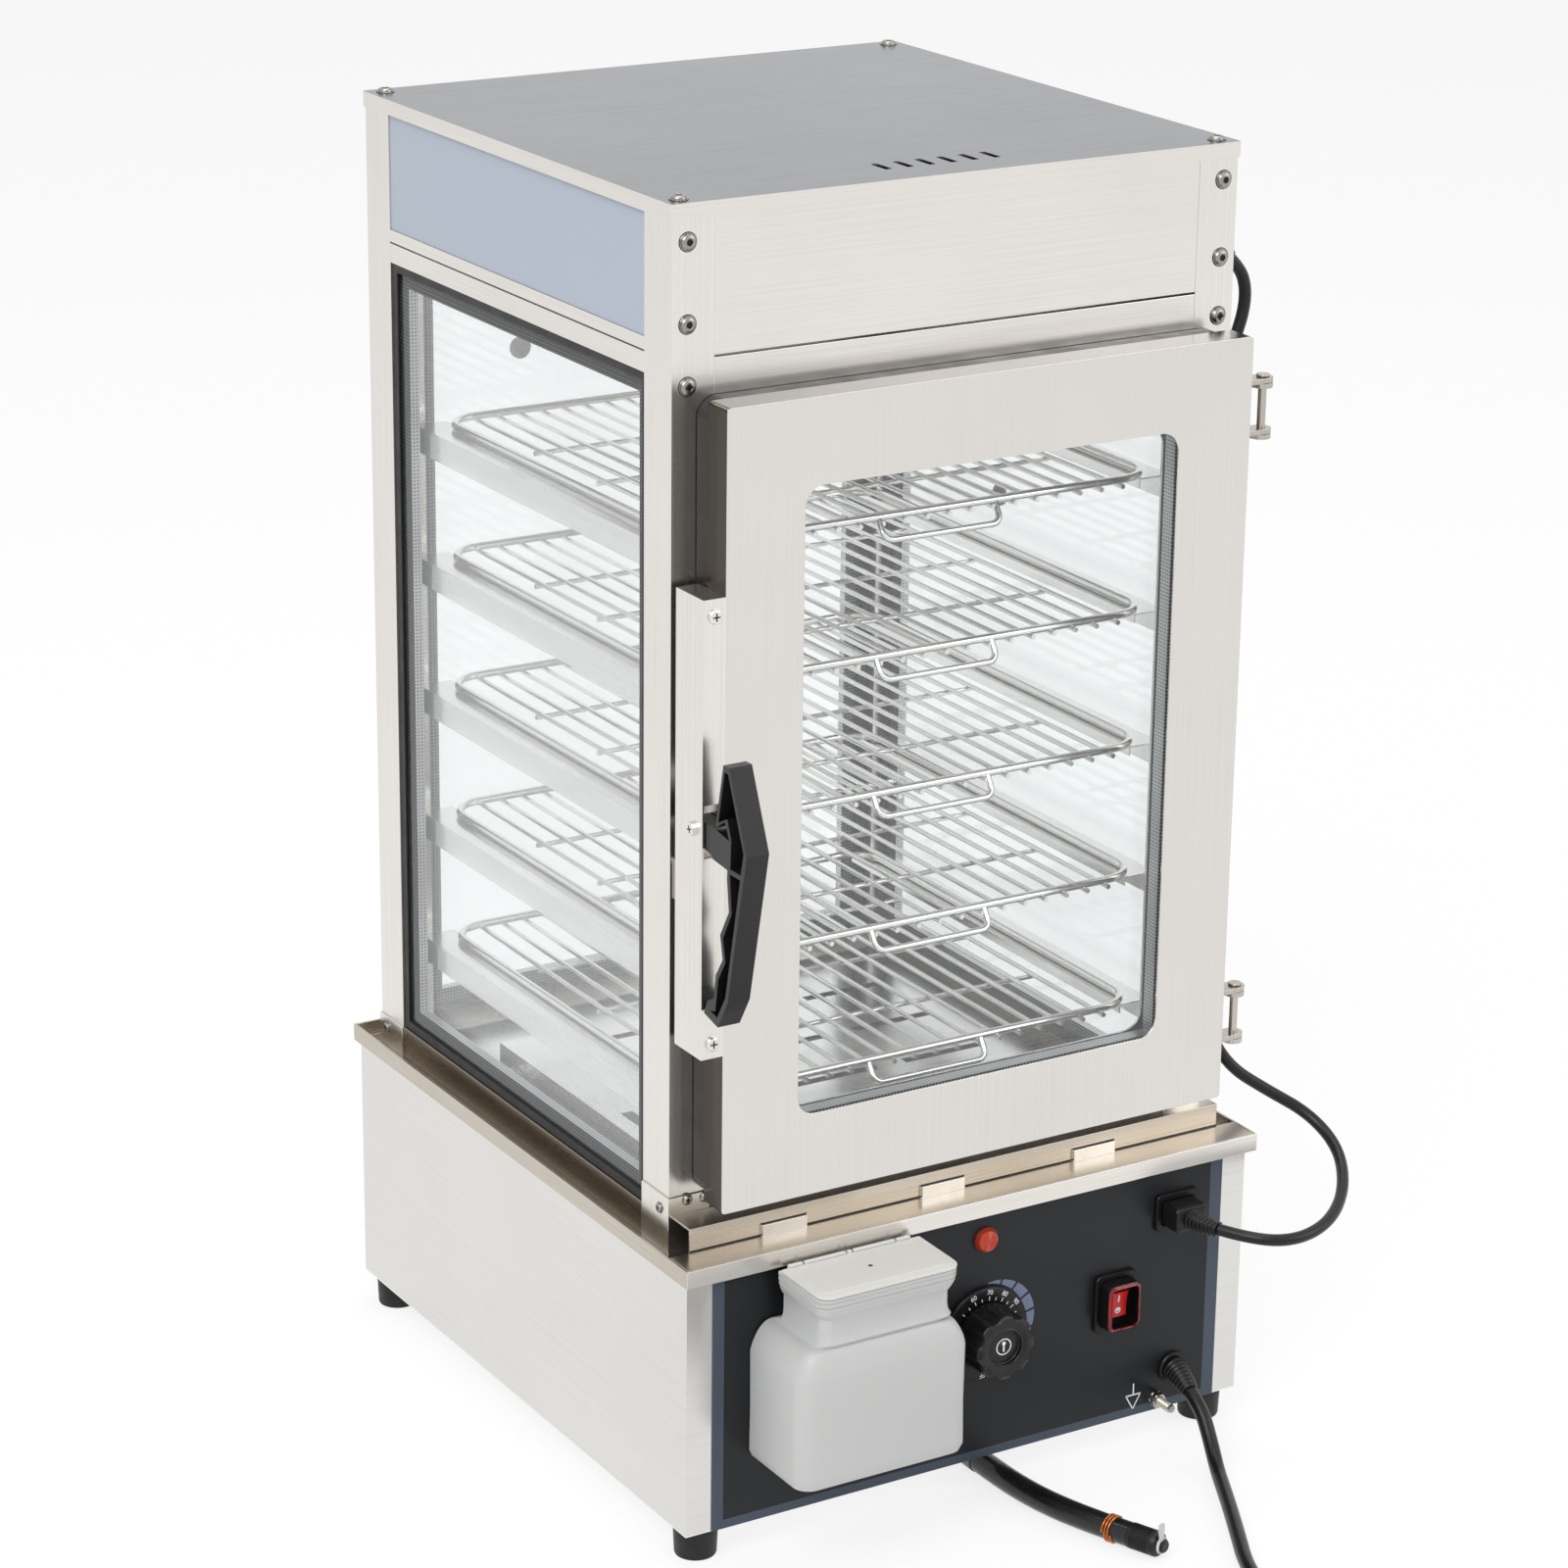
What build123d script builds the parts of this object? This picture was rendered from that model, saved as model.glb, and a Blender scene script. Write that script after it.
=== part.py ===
from build123d import *
import os
from math import atan2, cos, pi, radians, sin, tan

# An electric steam display cabinet for warm food: a water-tank base with the controls,
# and above it a glazed cabinet of five wire racks with a lit top. X is to the right,
# the door faces -Y, Z is up, and the floor is z = 0. y = 0 is the cabinet's middle.

# Base
foot_height = 20.0
foot_radius = 13.5
foot_inset = 15.5
base_width = 392.8
base_front_y = -223.3
base_back_y = 197.0
base_height = 161.6
base_sheet = 1.2
base_flange = 18.0
louvre_count = 8
louvre_pitch = 9.0
louvre_height = 3.0
louvre_half_length = 40.0
louvre_bottom = 40.0
panel_margin = 17.2
overlay_thickness = 0.8

# Drip rim around the top of the base
rim_side_overhang = 3.6
rim_front_overhang = 6.7
rim_back_overhang = 3.0
rim_height = 11.0
rim_sheet = 1.5
front_cover_depth = 22.5
sill_step_height = 14.5
sill_step_depth = 22.3
clip_width = 30.0
clip_height = 7.0
clip_thickness = 2.0
clip_xs = (-123.0, -14.0, 94.0)

# Water tank and what works in it
tank_half_width = 140.0
tank_front_y = -130.0
tank_back_y = 140.0
tank_depth = 92.0
tank_sheet = 1.0
tank_flange = 9.0
tank_clearance = 1.0
element_radius = 4.0
element_spacing = 60.0
element_height = 16.0
element_back_gap = 45.0
element_stub = 20.0
element_plate_height = 26.0
bulb_x = 62.0
bulb_lift = 12.0
bulb_radius = 3.0
bulb_length = 90.0
capillary_radius = 1.2
terminal_inset = 56.4
terminal_length = 60.0
terminal_count = 5
terminal_pitch = 11.0
cover_height = 13.0
cover_sheet = 1.0
cover_half_width = 157.0
cover_half_depth = 150.5
duct_width = 30.0
duct_height = 15.0
duct_length = 230.0
duct_x = -134.0
slot_length = 60.0
slot_width = 7.0
slot_xs = (-60.0, 20.0, 100.0)
slot_ys = (-90.0, -30.0, 30.0, 90.0)
duct_inset = 6.0
wing_knob_back = 35.0
wing_knob_rise = 8.0
knob_stem_radius = 2.0
knob_stem_length = 9.0

# Cabinet
cabinet_width = 373.0
cabinet_depth = 370.4
cabinet_height = 612.9
post_width = 26.5
post_depth = 30.2
post_sheet = 1.2
cover_lip = 9.0
top_sheet = 1.2
light_box_height = 76.0
lower_rail_height = 34.0
fascia_gap = 1.2
side_rail_height = 21.3
side_sill_height = 20.4
rail_depth = 17.0
rail_sheet = 1.2
sill_height = 49.0
shoe_height = 35.0
shoe_sheet = 1.2
panel_thickness = 3.0
panel_inset = 1.0
ceiling_sheet = 1.2
batten_half_length = 145.0
batten_half_width = 14.0
batten_height = 12.0

# Screws and vents of the cabinet
screw_head = 5.2
screw_shank = 2.0
screw_rise = 2.6
screw_depth = 3.0
post_screw_inset = 9.7
post_screw_drops = (21.4, 66.6, 101.0)
top_screw_inset = 9.0
vent_count = 6
vent_pitch = 14.4
vent_length = 17.0
vent_width = 4.5
vent_front_y = -160.0

# Double glazing
pane = 4.0
air_gap = 6.0
glass_edge = 3.5
gasket_lip = 2.0
gasket_inset = 1.5
spacer_width = 8.5

# Racks and the ledges that carry them
rack_count = 5
rack_pitch = 83.0
top_rack_drop = 198.0
rack_half_width = 154.0
rack_front_y = -160.0
rack_back_y = 148.0
rack_corner = 22.0
rod_radius = 2.5
wire_radius = 1.5
weld = 0.6
wire_pitch = 15.0
wire_reach = 3.5
cross_rods = 3
pull_width = 79.0
pull_reach = 8.0
pull_drop = 12.0
pull_radius = 2.0
ledge_width = 22.0
ledge_face = 16.0
ledge_lip = 6.0
ledge_sheet = 1.0
rack_rest_gap = 0.3

# Door
door_left_x = -172.0
door_right_x = 177.5
door_front_y = -220.0
door_depth = 20.0
door_bottom_z = 218.0
door_top_z = 690.0
door_sheet = 1.2
door_corner = 2.5
window_margin = 50.0
window_corner = 12.0
door_glass_overlap = 10.0
door_gasket_width = 11.0
door_gasket_inset = 1.0
door_gasket_corner = 12.0
gasket_gap = 0.3

# Hinges
hinge_pin_x = 193.5
hinge_pin_y = -209.0
hinge_pin_radius = 2.5
pin_clearance = 0.05
lug_thickness = 3.0
lug_radius = 6.0
lug_gap = 0.3
hinge_open_span = 24.0
hinge_zs = (644.0, 266.0)
leaf_sheet = 2.0
leaf_clearance = 2.0

# Latch box and lever
latch_width = 14.3
latch_front_y = -220.5
latch_depth = 30.0
latch_bottom_z = 316.0
latch_top_z = 585.0
latch_sheet = 1.2
lever_z = 451.0
lever_y = -210.0
lever_wall = 2.2
lever_clearance = 0.6
lever_side = 0.8
lever_slot_low, lever_slot_high = 15.0, 16.0
lever_pin_radius = 2.0
strike_height = 24.0

# Controls on the front panel; an inset is measured from the base's right side
lamp_x, lamp_z, lamp_radius = 6.5, 164.1, 7.0
lamp_bezel_radius = 8.2
knob_x, knob_z = 6.5, 103.5
dial_radius = 30.0
dial_thickness = 3.5
grip_gap = 0.4
grip_radius = 20.5
grip_length = 22.0
grip_lobes = 8
shaft_radius = 3.0
thermostat_size = 42.0
thermostat_depth = 30.0
switch_inset, switch_z = 94.9, 102.0
switch_width, switch_height = 30.0, 38.0
switch_body_depth = 24.0
switch_frame_depth = 3.0
boot_width, boot_height = 24.5, 31.0
boot_depth = 10.0
boot_wall = 0.8
rocker_width, rocker_height = 13.0, 17.0
rocker_tilt = 7.0
socket_inset, socket_z = 51.6, 152.9
socket_width, socket_height = 31.0, 24.0
socket_frame = 3.0
socket_body_depth = 22.0
plug_width, plug_height, plug_seat, plug_body = 23.0, 15.5, 8.0, 15.0
plug_relief = 20.0
grommet_y = -170.0
grommet_z = 730.5
grommet_reach, grommet_drop = 7.5, 5.5
gland_inset, gland_z = 49.4, 46.7
gland_reach = 20.0
gland_droop = 8.7
stud_inset, stud_z, stud_radius = 62.4, 29.0, 3.0
stud_reach = 20.0
nut_across = 10.0
nut_height = 3.2
nut_gap = 1.0
fit = 0.1

# Filling bottle
bottle_inset = 41.4
bottle_width = 115.0
bottle_depth = 59.0
bottle_bottom_z = 62.0
bottle_back_top_z = 165.0
bottle_front_top_z = 134.0
bottle_wall = 1.6
bottle_corner = 11.0
neck_width = 87.0
neck_depth = 45.0
neck_top_z = 181.0
neck_gap = 8.5
neck_shift = 3.0
collar_height = 8.0
lid_width = 94.0
lid_depth = 49.0
lid_thickness = 2.6
lid_gap = 0.3
lid_barrel_radius = 1.6
lid_barrel_rise = 1.9
lid_vent_radius = 2.2
inlet_radius = 8.0
inlet_z = 102.0

# Drain under the base
drain_x = 18.0
drain_y = -95.0
drain_pipe_radius = 7.0
hose_radius = 7.5
hose_bore = 4.5
hose_start_y = -208.0
hose_z = 8.2
collar_length = 12.0
cap_length = 20.0
cap_plug_length = 6.0
clamp_backs = (9.0, 14.0)

# Cords
mains_radius = 4.65
output_radius = 3.7
coil_turn_gap = 0.7
coil_inner_radius = 40.0
coil_dip = 3.5
coil_quarters_in = 9
coil_quarters_out = 10
coil_rise = 10.0


def span(x, y, z):
    """A block between pairs of x, y and z."""
    size = [abs(pair[1] - pair[0]) for pair in (x, y, z)]
    middle = [(pair[0] + pair[1]) / 2 for pair in (x, y, z)]
    return Pos(*middle) * Box(*size)


def rod(start, end, radius):
    """A round bar from one point to another."""
    run = Vector(*end) - Vector(*start)
    return extrude(Plane(origin=start, z_dir=run) * Circle(radius), run.length)


def along_y(x, z, radius, y_from, y_to):
    """A round bar parallel to Y."""
    return rod((x, y_from, z), (x, y_to, z), radius)


def along_z(x, y, radius, z_from, z_to):
    """A round bar parallel to Z."""
    return rod((x, y, z_from), (x, y, z_to), radius)


def frame_xz(x, z, width, y, corner=0.0):
    """A flat ring in the XZ plane, as a gasket or a spacer."""
    outer_w, outer_h = x[1] - x[0], z[1] - z[0]
    centre = Plane(origin=((x[0] + x[1]) / 2, y[1], (z[0] + z[1]) / 2), x_dir=(1, 0, 0), z_dir=(0, -1, 0))
    if corner > 0:
        face = RectangleRounded(outer_w, outer_h, corner)
        face -= RectangleRounded(outer_w - 2 * width, outer_h - 2 * width, max(corner - width, 1.0))
    else:
        face = Rectangle(outer_w, outer_h) - Rectangle(outer_w - 2 * width, outer_h - 2 * width)
    return extrude(centre * face, y[1] - y[0])


def turned(shape):
    """The same piece made for the right-hand side."""
    return mirror(shape, about=Plane.YZ)


def to_rear(shape):
    """The same piece made for the rear."""
    return mirror(shape, about=Plane.XZ)


def bend_radii(points):
    """The largest arc that each corner of a cord's route allows."""
    route = [Vector(*point) for point in points]
    radii = []
    for before, corner, after in zip(route, route[1:], route[2:]):
        first, second = corner - before, after - corner
        half_turn = radians(first.get_angle(second)) / 2
        radii.append(0.45 * min(first.length, second.length) / tan(half_turn))
    return radii


def cord_path(name, points):
    """A route of straight runs joined by tangent arcs, which prints its radii."""
    radii = bend_radii(points)
    path = FilletPolyline(*points, radius=radii)
    print(name, "length", round(path.length, 1), "radii", [round(radius, 1) for radius in radii])
    return path


def tube(path, radius):
    """A round tube swept along a path."""
    start = Plane(origin=path @ 0, z_dir=path % 0)
    return sweep(start * Circle(radius), path=path)


def biarc(start, start_way, end, end_way):
    """Two arcs that join two points with the given directions."""
    across = end - start
    both = start_way + end_way
    spread = 1 - start_way.dot(end_way)
    reach = across.dot(both)
    step = ((reach * reach + 2 * spread * across.dot(across)) ** 0.5 - reach) / (2 * spread)
    near, far = start + start_way * step, end - end_way * step
    middle = (near + far) * 0.5
    return [
        TangentArc(start, middle, tangent=start_way),
        TangentArc(middle, end, tangent=(far - near).normalized()),
    ]


# Levels and planes that several pieces share
base_half = base_width / 2
base_floor_top = foot_height + base_sheet
base_top = foot_height + base_height
overlay_y = base_front_y - overlay_thickness
rim_half = base_half + rim_side_overhang
rim_front_y = base_front_y - rim_front_overhang
rim_back_y = base_back_y + rim_back_overhang
tray_top = base_top + rim_sheet
rim_top = base_top + rim_height
half_width = cabinet_width / 2
half_depth = cabinet_depth / 2
cabinet_top = tray_top + cabinet_height
cover_under = cabinet_top - top_sheet
post_x = half_width - post_width
post_y = half_depth - post_depth
light_floor = cover_under - light_box_height - ceiling_sheet
fascia_bottom = light_floor - 7.0
header_bottom = fascia_bottom - fascia_gap - lower_rail_height
side_rail_bottom = light_floor + ceiling_sheet - side_rail_height
side_sill_top = tray_top + side_sill_height
sill_top = tray_top + sill_height
sill_step_top = rim_top + sill_step_height
tank_bottom = tray_top - tank_depth
tank_wall_top = tray_top + tank_sheet
glass_unit = 2 * pane + air_gap
door_back_y = door_front_y + door_depth
door_mid_x = (door_left_x + door_right_x) / 2
rack_zs = [cabinet_top - top_rack_drop - index * rack_pitch for index in range(rack_count)]
hinge_half = hinge_open_span / 2
element_z = tank_bottom + element_height
bulb_z = element_z + bulb_lift
duct_front_y = -cover_half_depth + duct_inset
wing_knob_y = duct_front_y + duct_length - wing_knob_back
wing_knob_z = tray_top + cover_height + wing_knob_rise
post_screw_x = half_width - post_screw_inset
post_screw_zs = [cabinet_top - drop for drop in post_screw_drops]
grommet_radius = output_radius + 2.0
glass_x = -half_width + gasket_inset + gasket_lip
side_y = (-post_y + gasket_lip, post_y - gasket_lip)
side_z = (side_sill_top + gasket_lip, side_rail_bottom - gasket_lip)
back_x = (-post_x + gasket_lip, post_x - gasket_lip)
back_glass_y = half_depth - gasket_inset - gasket_lip
window = (
    (door_left_x + window_margin, door_right_x - window_margin),
    (door_bottom_z + window_margin, door_top_z - window_margin),
)
latch_x = (door_left_x - latch_width, door_left_x)
switch_x = base_half - switch_inset
socket_x = base_half - socket_inset
gland_x = base_half - gland_inset
stud_x = base_half - stud_inset
bottle_left_x = -base_half + bottle_inset
bottle_right_x = bottle_left_x + bottle_width
bottle_mid_x = (bottle_left_x + bottle_right_x) / 2
neck_mid_x = bottle_mid_x + neck_shift
lid_x = (neck_mid_x - lid_width / 2, neck_mid_x + lid_width / 2)
lid_hinge_y = overlay_y - neck_gap - lid_barrel_radius
lid_hinge_z = neck_top_z + lid_barrel_rise
output_exit_y = overlay_y - socket_frame - plug_body - plug_relief
mains_exit_y = overlay_y - gland_reach
mains_exit_z = gland_z - gland_droop

# Routes of the cords and the drain hose
output_points = [
    (socket_x + 5.2, output_exit_y, socket_z), (socket_x + 17.7, -284.5, 151.5),
    (socket_x + 44.2, -292.0, 149.5), (socket_x + 74.2, -283.0, 152.0),
    (socket_x + 101.2, -260.0, 159.0), (socket_x + 117.2, -232.0, 171.0),
    (socket_x + 113.2, -206.0, 185.0), (socket_x + 92.2, -189.0, 199.0),
    (half_width + 27.5, -180.0, 216.0), (half_width + 13.5, -174.5, 242.0),
    (half_width + 8.0, -172.5, 277.0), (half_width + 6.5, -173.5, 325.0),
    (half_width + 7.1, -172.6, 380.0), (half_width + 6.1, -173.4, 435.0),
    (half_width + 7.1, -172.6, 490.0), (half_width + 6.1, -173.4, 545.0),
    (half_width + 6.5, -172.2, 592.0), (half_width + 7.1, -171.2, 630.0),
    (half_width + 9.7, -170.4, 655.0), (half_width + 14.7, -170.2, 675.5),
    (half_width + 20.3, -170.1, 691.0), (half_width + 21.1, -170.0, 705.5),
    (half_width + 16.1, -170.1, 717.5), (half_width + grommet_reach, grommet_y, grommet_z - grommet_drop),
]
mains_points = [
    (gland_x, mains_exit_y, mains_exit_z), (gland_x - 0.1, -257.0, 31.8), (gland_x - 2.6, -271.0, 16.0),
    (gland_x - 8.5, -286.5, 5.8), (gland_x - 18.0, -306.0, 4.8), (gland_x - 30.5, -330.0, 4.9),
    (gland_x - 45.5, -358.0, 4.8), (gland_x - 61.0, -386.0, 4.9), (gland_x - 71.0, -414.0, 4.8),
    (gland_x - 74.5, -444.0, 4.9),
]
coil_start = Vector(gland_x - 72.5, -476.0, mains_radius + 0.1)
coil_way = (coil_start - Vector(*mains_points[-1])).normalized()
hose_points = [
    (drain_x, hose_start_y, hose_z), (drain_x, -236.0, hose_z), (drain_x + 4.0, -268.0, 8.1),
    (drain_x + 12.5, -300.0, 8.4), (drain_x + 25.0, -332.0, 8.8),
]

# Holes through the front panel and its overlay
panel_holes = [
    ("round", lamp_x, lamp_z, lamp_radius - 1.0),
    ("round", knob_x, knob_z, shaft_radius + 1.0),
    ("round", gland_x, gland_z, mains_radius + 3.0),
    ("round", stud_x, stud_z, stud_radius + fit),
    ("square", switch_x, switch_z, switch_width - 5.0, switch_height - 5.0),
    ("square", socket_x, socket_z, socket_width - 5.0, socket_height - 5.0),
    ("round", bottle_mid_x, inlet_z, inlet_radius + fit),
]


def panel_cuts():
    """What the front panel and its overlay are pierced by."""
    depth = (overlay_y - 1.0, base_front_y + base_sheet + 1.0)
    cuts = []
    for hole in panel_holes:
        if hole[0] == "round":
            cuts.append(along_y(hole[1], hole[2], hole[3], *depth))
        else:
            half_w, half_h = hole[3] / 2, hole[4] / 2
            x, z = (hole[1] - half_w, hole[1] + half_w), (hole[2] - half_h, hole[2] + half_h)
            cuts.append(span(x, depth, z))
    return cuts


def base_shell():
    """Folded front, sides and back of the base, with a flange under the rim."""
    box = span((-base_half, base_half), (base_front_y, base_back_y), (base_floor_top, base_top))
    inside = span(
        (-base_half + base_sheet, base_half - base_sheet),
        (base_front_y + base_sheet, base_back_y - base_sheet),
        (base_floor_top - 1, base_top - base_sheet),
    )
    mouth = span(
        (-base_half + base_flange, base_half - base_flange),
        (base_front_y + base_flange, base_back_y - base_flange),
        (base_top - 2 * base_sheet, base_top + 1),
    )
    shell = box - inside - mouth
    for cut in panel_cuts():
        shell -= cut
    vent_y = base_back_y - base_sheet / 2
    length = (-louvre_half_length, louvre_half_length)
    for index in range(louvre_count):
        vent_z = foot_height + louvre_bottom + index * louvre_pitch
        shell -= span(length, (vent_y - 3, vent_y + 3), (vent_z, vent_z + louvre_height))
    return shell


def base_floor():
    """Bottom plate that the feet are fixed under."""
    plate = span((-base_half, base_half), (base_front_y, base_back_y), (foot_height, base_floor_top))
    return plate - along_z(drain_x, drain_y, drain_pipe_radius + 1.0, 0, base_floor_top + 1)


def feet():
    """Four rubber feet."""
    x = base_half - foot_inset
    ys = (base_front_y + foot_inset, base_back_y - foot_inset)
    shapes = []
    for side in (-x, x):
        for y in ys:
            foot = along_z(side, y, foot_radius, 0, foot_height)
            shapes.append(chamfer(foot.edges().filter_by(GeomType.CIRCLE).sort_by(Axis.Z)[0], 1.5))
    return Compound(children=shapes)


def control_overlay():
    """Thin printed sheet on the front panel."""
    half = base_half - panel_margin
    sheet = span((-half, half), (overlay_y, base_front_y), (foot_height, base_top))
    for cut in panel_cuts():
        sheet -= cut
    return sheet


def rim_tray():
    """Gutter around the cabinet's foot, with the tank's mouth in the middle."""
    outer = span((-rim_half, rim_half), (rim_front_y, rim_back_y), (base_top, rim_top))
    inner = span(
        (-rim_half + rim_sheet, rim_half - rim_sheet),
        (rim_front_y + rim_sheet, rim_back_y - rim_sheet),
        (tray_top, rim_top + 1),
    )
    gap = tank_clearance
    mouth = span(
        (-tank_half_width - gap, tank_half_width + gap),
        (tank_front_y - gap, tank_back_y + gap),
        (base_top - 1, tray_top + 1),
    )
    return outer - inner - mouth


def front_gutter():
    """Pressed cover over the front of the rim, with the step and clips under the door."""
    half = rim_half - rim_sheet
    front, back = rim_front_y + rim_sheet, rim_front_y + front_cover_depth
    deck = span((-half, half), (front, back), (rim_top - rim_sheet, rim_top))
    legs = span((-half, half), (front, front + rim_sheet), (tray_top, rim_top))
    legs += span((-half, half), (back - rim_sheet, back), (tray_top, rim_top))
    step_front = -half_depth - sill_step_depth
    half_step = half_width - 1.0
    step_x = (-half_step, half_step)
    step = span(step_x, (step_front, step_front + rim_sheet), (rim_top - rim_sheet, sill_step_top))
    step += span(step_x, (step_front, -half_depth - shoe_sheet), (sill_step_top - rim_sheet, sill_step_top))
    gutter = deck + legs + step
    for x in clip_xs:
        clip = span(
            (x - clip_width / 2, x + clip_width / 2),
            (step_front - clip_thickness, step_front),
            (rim_top, rim_top + clip_height),
        )
        gutter += clip
    return gutter


def water_tank():
    """Open tank hung by its flange on the tray."""
    sides = (-tank_half_width, tank_half_width)
    outer = span(sides, (tank_front_y, tank_back_y), (tank_bottom, tank_wall_top))
    flange = span(
        (-tank_half_width - tank_flange, tank_half_width + tank_flange),
        (tank_front_y - tank_flange, tank_back_y + tank_flange),
        (tray_top, tank_wall_top),
    )
    inside = span(
        (-tank_half_width + tank_sheet, tank_half_width - tank_sheet),
        (tank_front_y + tank_sheet, tank_back_y - tank_sheet),
        (tank_bottom + tank_sheet, tank_wall_top + 1),
    )
    tank = outer + flange - inside
    wall = (tank_front_y - 1, tank_front_y + tank_sheet + 1)
    for side in (-1, 1):
        tank -= along_y(side * element_spacing / 2, element_z, element_radius + fit, *wall)
    tank -= along_y(bottle_mid_x, inlet_z, inlet_radius + fit, *wall)
    tank -= along_y(bulb_x, bulb_z, bulb_radius + fit, *wall)
    floor = (tank_bottom - 1, tank_bottom + tank_sheet + 1)
    return tank - along_z(drain_x, drain_y, drain_pipe_radius - 1.5, *floor)


def heating_element():
    """Hairpin immersion heater with its flange plate and terminals."""
    half = element_spacing / 2
    front = tank_front_y - element_stub
    back = tank_back_y - element_back_gap
    ends = [(-half, front), (-half, back), (half, back), (half, front)]
    points = [(x, y, element_z) for x, y in ends]
    path = FilletPolyline(*points, radius=half - 0.5)
    heater = tube(path, element_radius)
    plate_x = half + 2 * element_radius
    plate_z = element_plate_height / 2
    plate = (element_z - plate_z, element_z + plate_z)
    return heater + span((-plate_x, plate_x), (tank_front_y - 3.0, tank_front_y), plate)


def thermostat():
    """Capillary thermostat: body behind the panel, thin tube and bulb in the water."""
    half = thermostat_size / 2
    back_y = base_front_y + base_sheet
    body_z = (knob_z - half, knob_z + half)
    body = span((knob_x - half, knob_x + half), (back_y, back_y + thermostat_depth), body_z)
    body += along_y(knob_x, knob_z, shaft_radius, overlay_y - dial_thickness - grip_gap - 12.5, back_y + 1)
    bulb_start = tank_front_y - 12.0
    exit_y = back_y + thermostat_depth
    route = [
        (knob_x + 10, exit_y - 2, knob_z - 12),
        (knob_x + 10, exit_y + 14, knob_z - 12),
        (bulb_x, bulb_start - 16, bulb_z),
        (bulb_x, bulb_start, bulb_z),
    ]
    capillary = tube(FilletPolyline(*route, radius=6.0), capillary_radius)
    bulb = along_y(bulb_x, bulb_z, bulb_radius, bulb_start - 1, bulb_start + bulb_length)
    return body + capillary + bulb


def terminal_block():
    """Screw terminals on the base's floor."""
    right = base_half - terminal_inset
    left = right - terminal_length
    block = span((left, right), (-195, -175), (base_floor_top, base_floor_top + 16))
    for index in range(terminal_count):
        x = left + 8.0 + index * terminal_pitch
        block -= along_z(x, -185, 3.0, base_floor_top + 10, base_floor_top + 17)
    return block


def tank_cover():
    """Plate over the tank with steam slots, and the raised steam duct on it."""
    top = tray_top + cover_height
    clear = cover_sheet
    half_x, half_y = cover_half_width, cover_half_depth
    plate = span((-half_x, half_x), (-half_y, half_y), (tray_top, top))
    plate -= span(
        (-half_x + clear, half_x - clear),
        (-half_y + clear, half_y - clear),
        (tray_top - 1, top - clear),
    )
    for x in slot_xs:
        for y in slot_ys:
            across = (y - slot_width / 2, y + slot_width / 2)
            plate -= span((x - slot_length / 2, x + slot_length / 2), across, (tray_top, top + 1))
    left, right = duct_x - duct_width / 2, duct_x + duct_width / 2
    back_y = duct_front_y + duct_length
    duct = span((left, right), (duct_front_y, back_y), (top, top + duct_height))
    duct -= span(
        (left + clear, right - clear),
        (duct_front_y + clear, back_y - clear),
        (top - 1, top + duct_height - clear),
    )
    outlet = (duct_front_y + 40, duct_front_y + 95)
    duct -= span((duct_x - 4, duct_x + 4), outlet, (top + 2, top + duct_height + 1))
    bore_start = (left - 1, wing_knob_y, wing_knob_z)
    bore = rod(bore_start, (left + 2, wing_knob_y, wing_knob_z), knob_stem_radius + fit)
    return plate + duct - bore


def wing_knob():
    """Clear wing knob on the steam duct."""
    face = duct_x - duct_width / 2
    y, z = wing_knob_y, wing_knob_z
    stem = rod((face + 0.9, y, z), (face - knob_stem_length, y, z), knob_stem_radius)
    hub = rod((face, y, z), (face - 5.0, y, z), 5.0)
    wings = span((face - 11.0, face - 4.0), (y - 9.0, y + 9.0), (z - 1.2, z + 1.2))
    return stem + hub + wings


def post(is_front):
    """One hollow post at a left corner."""
    y0, y1 = -half_depth, -post_y
    column = span((-half_width, -post_x), (y0, y1), (tray_top, cover_under))
    wall = post_sheet
    hollow_x = (-half_width + wall, -post_x - wall)
    column -= span(hollow_x, (y0 + wall, y1 - wall), (tray_top - 1, cover_under + 1))
    if is_front:
        for z in post_screw_zs:
            column -= along_y(-post_screw_x, z, screw_shank + fit, y0 - 1, y0 + wall + 1)
    return column


def corner_posts():
    """The four posts; the right front one lets the lamp lead in."""
    left = post(True)
    right = turned(left)
    entry = (half_width - 3, grommet_y, grommet_z)
    right -= rod(entry, (half_width + 1, grommet_y, grommet_z), grommet_radius - 1.0)
    rear = to_rear(post(False))
    return Compound(children=[left, right, rear, turned(rear)])


def shoe(height):
    """One angle plate at a left front corner."""
    corner_x, corner_y = -half_width - shoe_sheet, -half_depth - shoe_sheet
    plate = span((corner_x, -post_x), (corner_y, -post_y), (tray_top, tray_top + height))
    room = (tray_top - 1, tray_top + height + 1)
    return plate - span((-half_width, -post_x + 1), (-half_depth, -post_y + 1), room)


def corner_shoes():
    """Angle plates that tie the posts to the tray."""
    front = shoe(shoe_height)
    rear = to_rear(shoe(side_sill_height))
    return Compound(children=[front, turned(front), rear, turned(rear)])


def screw(x, y, z, way):
    """A pan-head screw standing on a face; way is the outward normal."""
    out = Vector(*way)
    foot = Vector(x, y, z)
    head = extrude(Plane(origin=foot, z_dir=out) * Circle(screw_head), screw_rise)
    rims = head.edges().filter_by(GeomType.CIRCLE).sort_by(lambda edge: edge.center().dot(out))
    head = fillet(rims[-1], 1.6)
    socket = extrude(Plane(origin=foot + out * (screw_rise - 1.3), z_dir=out) * RegularPolygon(1.7, 6), 2)
    return head - socket + extrude(Plane(origin=foot, z_dir=-out) * Circle(screw_shank), screw_depth)


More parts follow.
